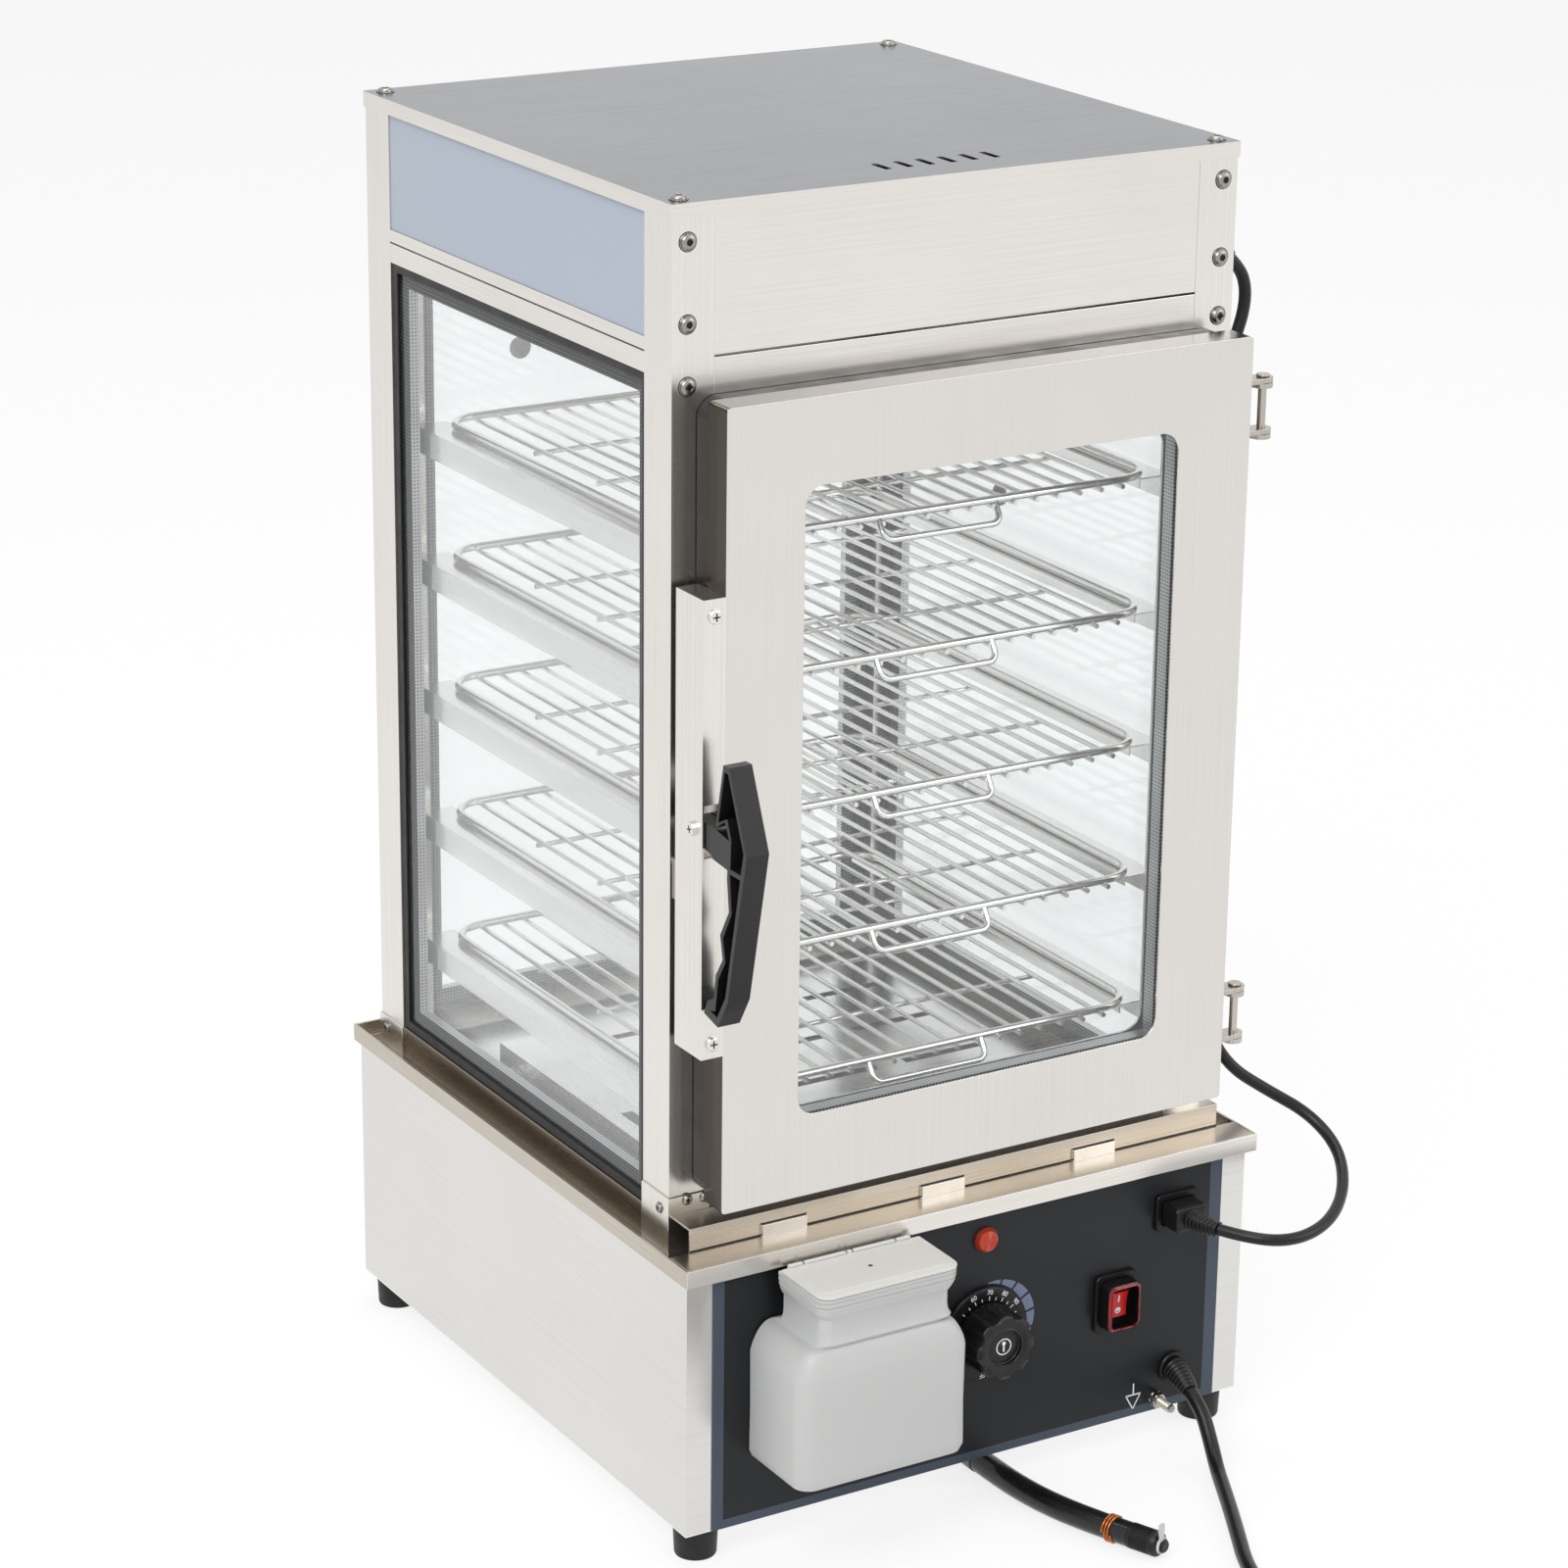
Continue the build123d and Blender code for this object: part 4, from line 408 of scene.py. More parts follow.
def aligned(origin: Sequence[float], across: Vector, up: Vector, way: Vector) -> Matrix:
    """Returns the matrix that sets local x, y and z along three directions at a place."""
    return Matrix.Translation(Vector(origin)) @ Matrix((across, up, way)).transposed().to_4x4()


def place_on(axis: Axis, origin: Sequence[float]) -> Matrix:
    """Returns the matrix from a lathe's frame, z along its axis, to the object's frame, in millimetres."""
    across, up = {
        Axis.FRONT: ((1, 0, 0), (0, 0, 1)), Axis.LEFT: ((0, -1, 0), (0, 0, 1)),
        Axis.RIGHT: ((0, 1, 0), (0, 0, 1)), Axis.UP: ((1, 0, 0), (0, 1, 0)),
    }[axis]
    return aligned(origin, Vector(across), Vector(up), Vector(axis.value))


def circle(centre: Vector, across: Vector, side: Vector, radius: float, steps: int) -> list[Vector]:
    """Returns the points of a circle in the plane of two directions."""
    angles = (2 * math.pi * k / steps for k in range(steps))
    return [centre + (across * math.cos(a) + side * math.sin(a)) * radius for a in angles]


def closed_mesh(name: str, work: BMesh, smooth_deg: float = SMOOTH_DEG) -> Mesh:
    """Finishes a mesh whose points are in millimetres: normals outwards, metres, smooth below an angle.

    Args:
        name: the mesh's name.
        work: the bmesh, which is freed.
        smooth_deg: edges flatter than this are smooth.

    Returns:
        The mesh.
    """
    bmesh.ops.remove_doubles(work, verts=work.verts, dist=0.002)
    bmesh.ops.recalc_face_normals(work, faces=work.faces)
    bmesh.ops.scale(work, vec=(MM, MM, MM), verts=work.verts)
    mesh = bpy.data.meshes.new(name)
    work.to_mesh(mesh)
    work.free()
    mesh.shade_smooth()
    mesh.set_sharp_from_angle(angle=math.radians(smooth_deg))
    return mesh


def bridge(work: BMesh, rings: Sequence[Sequence[Vector]], closed: bool = False, cap: bool = True) -> None:
    """Skins a row of rings of points; a ring of one point is a pole.

    Args:
        work: the bmesh that gets the faces.
        rings: rings with equal counts of points, or one point.
        closed: joins the last ring to the first.
        cap: closes the first and the last ring with one face each.
    """
    rows = [[work.verts.new(p) for p in ring] for ring in rings]
    pairs = list(zip(rows, rows[1:])) + ([(rows[-1], rows[0])] if closed else [])
    for low, high in pairs:
        count = max(len(low), len(high))
        if count == 1:
            continue
        for i in range(count):
            j = (i + 1) % count
            corners = [low[i % len(low)], low[j % len(low)], high[j % len(high)], high[i % len(high)]]
            unique = list(dict.fromkeys(corners))
            if len(unique) > 2:
                work.faces.new(unique)
    if cap and not closed:
        for row in (rows[0], rows[-1]):
            if len(row) > 2:
                work.faces.new(row)


def lathe(work: BMesh, place: Matrix, profile: Sequence[Pair], steps: int = 40,
          shape: Optional[Callable[[float, float, float], float]] = None) -> None:
    """Turns a profile of radius and height about an axis.

    Args:
        work: the bmesh that gets the faces.
        place: from place_on.
        profile: points of radius and height in millimetres, a radius of 0 being a pole.
        steps: points around.
        shape: gives the radius to use from the angle, radius and height.
    """
    rings = []
    for radius, height in profile:
        if radius < 1e-6:
            rings.append([place @ Vector((0, 0, height))])
            continue
        ring = []
        for i in range(steps):
            angle = 2 * math.pi * i / steps
            r = shape(angle, radius, height) if shape else radius
            ring.append(place @ Vector((r * math.cos(angle), r * math.sin(angle), height)))
        rings.append(ring)
    bridge(work, rings)


def rounded(half_width: float, half_height: float, radius: float, arc: int = 6) -> list[Pair]:
    """Returns the points of a rounded rectangle about the origin, counter-clockwise."""
    r = min(radius, half_width - 0.01, half_height - 0.01)
    x, y = half_width - r, half_height - r
    points = []
    for cx, cy, start in ((x, y, 0), (-x, y, 90), (-x, -y, 180), (x, -y, 270)):
        for i in range(arc + 1):
            angle = math.radians(start + 90 * i / arc)
            points.append((cx + r * math.cos(angle), cy + r * math.sin(angle)))
    return points


def loft(work: BMesh, place: Matrix, rows: Iterable[tuple[float, float, float, float]], arc: int = 6) -> None:
    """Skins rounded rectangles, given as half width, half height, corner radius and level."""
    bridge(work, [[place @ Vector((x, y, level)) for x, y in rounded(wide, high, corner, arc)]
                  for wide, high, corner, level in rows])


def sweep(work: BMesh, path: Sequence[Vector], radius: float, steps: int = 12, closed: bool = False) -> None:
    """Sweeps a round section along points, without twist.

    Args:
        work: the bmesh that gets the faces.
        path: points in millimetres.
        radius: the section's radius.
        steps: points around.
        closed: joins the end to the start.
    """
    count = len(path)
    across = None
    rings = []
    for i, point in enumerate(path):
        before = path[(i - 1) % count] if closed or i > 0 else point
        after = path[(i + 1) % count] if closed or i < count - 1 else point
        way = (after - before).normalized()
        if across is None:
            across = way.orthogonal().normalized()
        across = (across - way * across.dot(way)).normalized()
        rings.append(circle(point, across, way.cross(across), radius, steps))
    bridge(work, rings, closed=closed)


def filleted(points: Sequence[Sequence[float]], radius: float, closed: bool = False,
             arc: int = 8) -> list[Vector]:
    """Returns the points of a rigid wire's bent route, with an arc at each corner."""
    route = [Vector(p) for p in points]
    count = len(route)
    result = []
    for i, corner in enumerate(route):
        if not closed and i in (0, count - 1):
            result.append(corner)
            continue
        first, last = route[i - 1] - corner, route[(i + 1) % count] - corner
        half = first.angle(last) / 2
        back = radius / math.tan(half)
        start, end = corner + first.normalized() * back, corner + last.normalized() * back
        centre = corner + (first.normalized() + last.normalized()).normalized() * radius / math.sin(half)
        for k in range(arc + 1):
            chord = start.lerp(end, k / arc) - centre
            result.append(centre + chord.normalized() * radius)
    return result


def piece(name: str, mesh: Mesh, finish: Finish, nodes: Iterable[str] = (), body: str = "cabinet") -> Object:
    """Adds a finished piece to the scene.

    Args:
        name: the piece's name.
        mesh: its mesh, in place.
        finish: its finish, which also knows the record's material slot.
        nodes: CAD nodes that it stands for.
        body: the CAD body it rides on.

    Returns:
        The object.
    """
    made = show(name, mesh)
    mesh.materials.clear()
    mesh.materials.append(finish.material())
    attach(made, body)
    if nodes:
        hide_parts(*nodes)
    log.info("%s: %d faces, %s", name, len(mesh.polygons), finish.name)
    return made


def solid(name: str, work: BMesh, finish: Finish, nodes: Iterable[str] = (), body: str = "cabinet",
          smooth_deg: float = SMOOTH_DEG) -> Object:
    """Adds a piece from a bmesh in millimetres."""
    return piece(name, closed_mesh(name, work, smooth_deg), finish, nodes, body)


def dress(node: str, finish: Finish) -> None:
    """Gives a CAD node that keeps its shape a finish."""
    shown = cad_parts[node]
    for place in shown.material_slots:
        place.material = finish.material()
    log.info("%s keeps its solid, %s", node, finish.name)


def eased(node: str, finish: Finish, width: float = SHEET_EDGE, body: str = "cabinet",
          name: Optional[str] = None) -> Object:
    """Stands a copy of a folded-sheet node in for it, with its edges eased as a press brake leaves them.

    Args:
        node: the CAD node.
        finish: its finish.
        width: the eased edge's width in millimetres.
        body: the body it rides on.
        name: another name for the piece.

    Returns:
        The object.
    """
    work = bmesh.new()
    work.from_mesh(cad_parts[node].data)
    bmesh.ops.remove_doubles(work, verts=work.verts, dist=0.00001)
    bmesh.ops.dissolve_limit(work, angle_limit=math.radians(0.5), verts=work.verts, edges=work.edges)
    sharp = [e for e in work.edges if len(e.link_faces) == 2 and e.calc_face_angle(0) > math.radians(28)]
    bmesh.ops.bevel(work, geom=sharp, offset=width * MM, segments=2, profile=0.6, affect="EDGES",
                    clamp_overlap=True)
    mesh = bpy.data.meshes.new(node)
    work.to_mesh(mesh)
    work.free()
    mesh.shade_smooth()
    mesh.set_sharp_from_angle(angle=math.radians(40))
    made = piece(name or f"{node}.eased", mesh, finish, [node], body)
    weighted = made.modifiers.new("even faces", "WEIGHTED_NORMAL")
    weighted.keep_sharp = True
    return made


def second_finish(shown: Object, finish: Finish, chosen: Callable[[Vector, Vector], bool]) -> None:
    """Gives some faces of a piece another finish.

    Args:
        shown: the piece.
        finish: the other finish.
        chosen: tells from a face's centre in millimetres and its normal whether it gets that finish.
    """
    mesh = shown.data
    mesh.materials.append(finish.material())
    for face in mesh.polygons:
        if chosen(face.center / MM, face.normal):
            face.material_index = len(mesh.materials) - 1


def curved_sleeve(work: BMesh, start: Vector, bend: Vector, end: Vector, last_way: Vector,
                  radii: Pair, rib: float) -> None:
    """Makes a moulded sleeve that bends from one direction into another, with ribs across it.

    Args:
        work: the bmesh that gets the faces.
        start: where the sleeve begins.
        bend: the corner of its curve.
        end: where the cord leaves it.
        last_way: the cord's direction there.
        radii: radius at the start and the end.
        rib: depth of the grooves between its ribs.
    """
    rings = []
    for i in range(41):
        t = i / 40
        centre = start * (1 - t) ** 2 + bend * 2 * t * (1 - t) + end * t * t
        way = ((bend - start) * (1 - t) + (end - bend) * t).normalized()
        way = way.lerp(last_way, t * t * 0.6).normalized()
        flat = way.cross(Vector((0, 0, 1))).normalized()
        side = flat.cross(way)
        groove = 0.0 if i % 5 in (1, 2, 3) or i == 40 else rib
        radius = radii[0] + (radii[1] - radii[0]) * t - groove
        rings.append(circle(centre, flat, side, radius, 24))
    bridge(work, rings)


@dataclass
class NodeGroup:
    """A Geometry Nodes tree with named inputs."""

    name: str
    tree: NodeTree = field(init=False)

    def __post_init__(self) -> None:
        """Makes the empty tree with its geometry sockets."""
        self.tree = bpy.data.node_groups.new(self.name, "GeometryNodeTree")
        for way in ("INPUT", "OUTPUT"):
            self.tree.interface.new_socket("Geometry", in_out=way, socket_type="NodeSocketGeometry")

    def sizes(self, **values: float) -> Node:
        """Adds a named input for each size and returns the group's input node."""
        for label, value in values.items():
            kind = "NodeSocketInt" if isinstance(value, int) else "NodeSocketFloat"
            self.tree.interface.new_socket(label, in_out="INPUT", socket_type=kind).default_value = value
        return self.tree.nodes.new("NodeGroupInput")

    def finish(self, shape: NodeSocket, finish: Finish) -> None:
        """Ends the tree in real geometry with its material."""
        real = add(self.tree, "GeometryNodeRealizeInstances", {0: shape})
        coated = add(self.tree, "GeometryNodeSetMaterial", {
            "Geometry": real.outputs[0], "Material": finish.material()})
        add(self.tree, "NodeGroupOutput", {0: coated.outputs[0]})

    def mesh(self, base: Mesh, **values: float) -> Mesh:
        """Runs the tree on a mesh.

        Args:
            base: the mesh that the tree starts from.
            values: sizes that differ from the tree's own.

        Returns:
            The resulting plain mesh.
        """
        holder = show("holder", base)
        modifier = holder.modifiers.new(self.name, "NODES")
        modifier.node_group = self.tree
        for item in self.tree.interface.items_tree:
            if item.item_type == "SOCKET" and item.in_out == "INPUT" and item.name in values:
                modifier[item.identifier] = values[item.name]
        return evaluated(holder)


def merged(name: str, meshes: Sequence[Mesh]) -> Mesh:
    """Joins meshes that are already in place and in metres."""
    work = bmesh.new()
    for mesh in meshes:
        work.from_mesh(mesh)
    joined = bpy.data.meshes.new(name)
    work.to_mesh(joined)
    work.free()
    joined.shade_smooth()
    joined.set_sharp_from_angle(angle=math.radians(SMOOTH_DEG))
    return joined


def print_mesh(name: str, text: str, height: float, place: Matrix, lift: float = 0.06) -> Mesh:
    """Makes printed characters as a thin mesh, centred, their height in millimetres."""
    curve = bpy.data.curves.new(name, "FONT")
    curve.body = text
    curve.size = height * 1.38
    curve.align_x = "CENTER"
    curve.align_y = "CENTER"
    curve.extrude = lift / 2
    mesh = evaluated(show(name, curve))
    mesh.transform(Matrix.Scale(MM, 4) @ place)
    return mesh


def ink_strip(work: BMesh, place: Matrix, points: Sequence[Pair], width: float, lift: float = 0.06) -> None:
    """Prints a line of a given width through points on a face."""
    for start, end in zip(points, points[1:]):
        a, b = Vector(start), Vector(end)
        side = Vector((a.y - b.y, b.x - a.x)).normalized() * width / 2
        corners = (a - side, b - side, b + side, a + side)
        bridge(work, [[place @ Vector((x, y, z)) for x, y in corners] for z in (0.0, lift)])


@dataclass
class ViewPoint:
    """The photograph's viewpoint, found from the cabinet's known edges."""

    place_mm: Triple = (-1374.29, -2265.97, 1299.29)
    azimuth: float = -31.23
    elevation: float = 19.09
    roll: float = 0.68
    lens: float = 104.785

    def build(self) -> None:
        """Makes the camera and sets it as the scene's."""
        a, e, r = (math.radians(v) for v in (self.azimuth, self.elevation, self.roll))
        back = Vector((math.sin(a) * math.cos(e), -math.cos(a) * math.cos(e), math.sin(e)))
        right = (-back).cross(Vector((0, 0, 1))).normalized()
        up = right.cross(-back)
        tilted_right = math.cos(r) * right + math.sin(r) * up
        tilted_up = -math.sin(r) * right + math.cos(r) * up
        data = bpy.data.cameras.new("camera")
        data.lens = self.lens
        data.sensor_width = 36.0
        data.clip_start, data.clip_end = 0.05, 100.0
        made = show("camera", data)
        made.matrix_world = aligned(Vector(self.place_mm) * MM, tilted_right, tilted_up, back)
        bpy.context.scene.camera = made
        log.info("camera stands at %s", tuple(round(v, 3) for v in made.location))


@dataclass
class Lead:
    """A free cord or hose: one open curve through the part's own route points."""

    name: str
    points_mm: Sequence[Sequence[float]]
    radius_mm: float
    length_mm: float
    finish: Finish
    nodes: tuple[str, ...]

    def build(self) -> Object:
        """Makes the curve and puts it on the cabinet.

        Returns:
            The curve object.
        """
        curve = bpy.data.curves.new(self.name, "CURVE")
        curve.dimensions = "3D"
        spline = curve.splines.new("NURBS")
        spline.points.add(len(self.points_mm) - 1)
        for point, place in zip(spline.points, self.points_mm):
            point.co = (place[0] * MM, place[1] * MM, place[2] * MM, 1.0)
        spline.order_u = 3
        spline.use_endpoint_u = True
        spline.resolution_u = 8
        curve.bevel_depth = self.radius_mm * MM
        curve.bevel_resolution = 5
        curve.use_fill_caps = True
        curve.materials.append(self.finish.material())
        made = show(self.name, curve)
        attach(made, "cabinet")
        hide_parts(*self.nodes)
        log.info("%s: %d route points", self.name, len(self.points_mm))
        return made


@dataclass
class MainsLead:
    """Mains cord from the panel's gland to its plug; what the photograph doesn't show lies in a coil."""

    radius: float = 4.65
    length: float = 1938.1
    coil_start: Triple = (74.5, -476.0, 4.75)
    inner: float = 40.0
    pitch: float = 10.0
    rise: float = 10.0
    dip: float = 3.5
    quarters_in: int = 9
    quarters_out: int = 10
    steps: int = 9
    route: tuple[Triple, ...] = (
        (147.0, -244.1, 38.0), (146.9, -257.0, 31.8), (144.4, -271.0, 16.0), (138.5, -286.5, 5.8),
        (129.0, -306.0, 4.8), (116.5, -330.0, 4.9), (101.5, -358.0, 4.8), (86.0, -386.0, 4.9),
        (76.0, -414.0, 4.8), (72.5, -444.0, 4.9),
    )

    def turn_at(self, quarter: float) -> Pair:
        """Gives the coil's radius and rise after a number of quarter turns.

        Args:
            quarter: quarter turns from the coil's start.

        Returns:
            The radius and the height above the first layer.
        """
        step = self.pitch / 4
        if quarter <= self.quarters_in:
            return self.inner + step * (self.quarters_in - quarter), 0.0
        over = quarter - self.quarters_in - 2
        if over >= 0:
            return self.inner + step * over, self.rise
        t = (over + 2) / 2
        ease = 16 * t * t * (1 - t) * (1 - t)
        side = 2 * step * (t * (1 - t) * (1 - t) + t * t * (1 - t))
        return self.inner - side - (self.dip - 2 * step * 0.25) * ease, self.rise * t * t * (3 - 2 * t)

    def coil(self) -> tuple[list[Triple], Vector]:
        """Gives the coil's points and the direction at its end."""
        start = Vector(self.coil_start)
        way = (start - Vector(self.route[-1])).normalized()
        outer = self.inner + self.pitch * self.quarters_in / 4
        first = math.atan2(way.y, way.x) + math.pi / 2 + math.atan2(self.pitch / (2 * math.pi), outer)
        centre = start - Vector((math.cos(first), math.sin(first), 0)) * outer
        quarters = self.quarters_in + 2 + self.quarters_out
        count = quarters * self.steps
        push = 1 / math.cos(math.pi / 4 / self.steps)
        points = []
        for i in range(count + 1):
            radius, height = self.turn_at(i / self.steps)
            radius *= push if 0 < i < count else 1.0
            angle = first - i / self.steps * math.pi / 2
            points.append((centre.x + radius * math.cos(angle), centre.y + radius * math.sin(angle),
                           start.z + height))
        growth = self.pitch / (2 * math.pi)
        radius, last = self.turn_at(quarters)[0], first - quarters * math.pi / 2
        out, ahead = Vector((math.cos(last), math.sin(last), 0)), Vector((math.sin(last), -math.cos(last), 0))
        end_way = (ahead * radius + out * growth).normalized()
        points.append(tuple(Vector(points[-1]) + end_way * 2 * self.radius))
        return points, end_way

    def build(self) -> None:
        """Makes the cord with its coil and its plug."""
        coil, way = self.coil()
        points = list(self.route) + coil
        lead = Lead("mains_lead", points, self.radius, self.length, CORD, ("mains_cord", "mains_coil"))
        cord = lead.build()
        plug = self.plug(Vector(coil[-1]), way)

    def plug(self, start: Vector, way: Vector) -> Object:
        """Makes the moulded plug with its ribbed relief and two round pins."""
        side = Vector((-way.y, way.x, 0))
        place = aligned(start, side, way.cross(side), way)
        work = bmesh.new()
        profile = [(0.0, -1.0), (4.9, -1.0), (5.25, 0.0)]
        for i in range(9):
            wide = 5.4 + 3.0 * (i + 1) / 9
            low = 1.0 + i * 5.1
            profile += [(wide - 0.7, low), (wide, low + 0.8), (wide, low + 3.2), (wide - 0.7, low + 4.0)]
        lathe(work, place, profile + [(7.9, 47.5), (0.0, 47.5)], 28)
        levels = ((46.0, 5.0), (47.2, 2.2), (49.5, 0.6), (54.0, 0.0), (60.0, 0.5), (68.0, 0.5), (74.0, 0.0),
                  (79.0, 0.6), (80.0, 2.0))
        loft(work, place, [(17 - s, 14.65 - s * 0.8, 9.0 - s * 0.5, level) for level, s in levels])
        plug = solid("mains_plug_body", work, PVC, ["mains_plug"])
        pins = bmesh.new()
        for x in (-9.5, 9.5):
            pin = place @ Matrix.Translation((x, 0, 0))
            lathe(pins, pin, [(0, 79.0), (2.4, 79.0), (2.4, 97.4), (1.6, 98.6), (0, 99.0)], 20)
        solid("mains_plug_pins", pins, BRIGHT).parent = plug
        return plug


@dataclass
class DrainLine:
    """Rubber drain hose with its wire clamp and ribbed cap."""

    radius: float = 7.5
    length: float = 127.6
    route: tuple[Triple, ...] = (
        (18.0, -208.0, 8.2), (18.0, -236.0, 8.2), (22.0, -268.0, 8.1), (30.5, -300.0, 8.4), (43.0, -332.0, 8.8),
    )

    def end(self) -> Matrix:
        """Gives the frame at the hose's end, z going out."""
        last, before = Vector(self.route[-1]), Vector(self.route[-2])
        way = (last - before).normalized()
        side = way.cross(Vector((0, 0, 1))).normalized()
        return aligned(last, side, way.cross(side), way)

    def build(self) -> None:
        """Makes the hose, its clamp, its cap and the pipe's collar."""
        lead = Lead("drain_line", self.route, self.radius, self.length, HOSE, ("drain_hose",))
        hose = lead.build()
        clamp, cap = self.clamp(), self.cap()
        eased("drain_fitting", GREY_RUBBER, 0.5)

    def clamp(self) -> Object:
        """Makes three turns of copper wire round the hose's end."""
        place, reach, turns = self.end(), self.radius + 0.3, []
        for i in range(73):
            angle = 2 * math.pi * i / 24
            back = -10.0 - 6.0 * i / 72
            turns.append(place @ Vector((reach * math.cos(angle), reach * math.sin(angle), back)))
        work = bmesh.new()
        sweep(work, turns, 0.8, 8)
        return solid("hose_wire_clamp", work, COPPER, ["hose_clamp"], smooth_deg=60.0)

    def cap(self) -> Object:
        """Makes the ribbed cap and its end button."""
        work = bmesh.new()
        profile = [(0.0, -6.0), (4.4, -6.0), (4.4, -0.2), (7.0, 0.0), (7.8, 0.4), (7.8, 2.6)]
        for i in range(8):
            low = 3.0 + 1.6 * i
            profile += [(7.8, low - 0.1), (7.4, low), (7.35, low + 0.7), (7.8, low + 0.8)]
        profile += [(7.8, 18.6), (7.2, 19.6), (5.4, 20.0), (4.2, 20.3), (4.2, 23.0), (3.4, 24.0), (0.0, 24.0)]
        lathe(work, self.end(), profile, 36)
        cap = solid("hose_end_cap", work, PVC, ["drain_cap"], "hose_cap")
        self.tab().parent = cap
        return cap

    def tab(self) -> Object:
        """Makes the cap's pale ring and its pull tab, which leans up and out."""
        place = self.end()
        work = bmesh.new()
        lathe(work, place, [(4.1, 20.4), (5.0, 20.4), (5.2, 21.2), (5.0, 22.0), (4.1, 22.0), (4.1, 20.4)], 28)
        rings = []
        sections = ((3.6, 1.6, 0.9), (7.0, 1.9, 0.6), (11.0, 2.6, 0.5), (15.0, 2.9, 0.5), (16.4, 2.0, 0.5))
        for reach, half, thick in sections:
            centre = Vector((0.26 * reach, -reach, 21.2 + 0.12 * reach))
            rings.append([place @ (centre + Vector((x, 0, z))) for x, z in (
                (-half, -thick), (half, -thick), (half, thick), (-half, thick))])
        bridge(work, rings)
        return solid("hose_cap_tab", work, LID, body="hose_cap")


@dataclass
class LampLead:
    """Lamp lead from the panel's socket up to the light box."""

    radius: float = 3.7
    length: float = 759.7
    socket: Pair = (144.8, 152.9)
    route: tuple[Triple, ...] = (
        (150.0, -262.1, 152.9), (162.5, -284.5, 151.5), (189.0, -292.0, 149.5), (219.0, -283.0, 152.0),
        (246.0, -260.0, 159.0), (262.0, -232.0, 171.0), (258.0, -206.0, 185.0), (237.0, -189.0, 199.0),
        (214.0, -180.0, 216.0), (200.0, -174.5, 242.0), (194.5, -172.5, 277.0), (193.0, -173.5, 325.0),
        (193.6, -172.6, 380.0), (192.6, -173.4, 435.0), (193.6, -172.6, 490.0), (192.6, -173.4, 545.0),
        (193.0, -172.2, 592.0), (193.6, -171.2, 630.0), (196.2, -170.4, 655.0), (201.2, -170.2, 675.5),
        (206.8, -170.1, 691.0), (207.6, -170.0, 705.5), (202.6, -170.1, 717.5), (194.0, -170.0, 725.0),
    )

    def build(self) -> None:
        """Makes the lead and its plug."""
        lead = Lead("lamp_lead", self.route, self.radius, self.length, CORD, ("output_cord",))
        cord = lead.build()
        self.plug()

    def plug(self) -> Object:
        """Makes the plug's body and its ribbed relief, which bends towards the lead."""
        work = bmesh.new()
        x, z = self.socket
        levels = ((219.1, 0.0), (240.6, 0.0), (241.6, 0.5), (242.1, 1.6))
        loft(work, place_on(Axis.FRONT, (x, 0, z)), [(11.5 - s, 7.75 - s, 2.5, level) for level, s in levels])
        start, bend, end = Vector((x, -241.5, z)), Vector((x, -252.0, z)), Vector(self.route[0])
        last_way = (Vector(self.route[1]) - end).normalized()
        curved_sleeve(work, start, bend, end, last_way, (6.5, 4.8), 0.7)
        return solid("lamp_lead_plug", work, PVC, ["output_plug"])


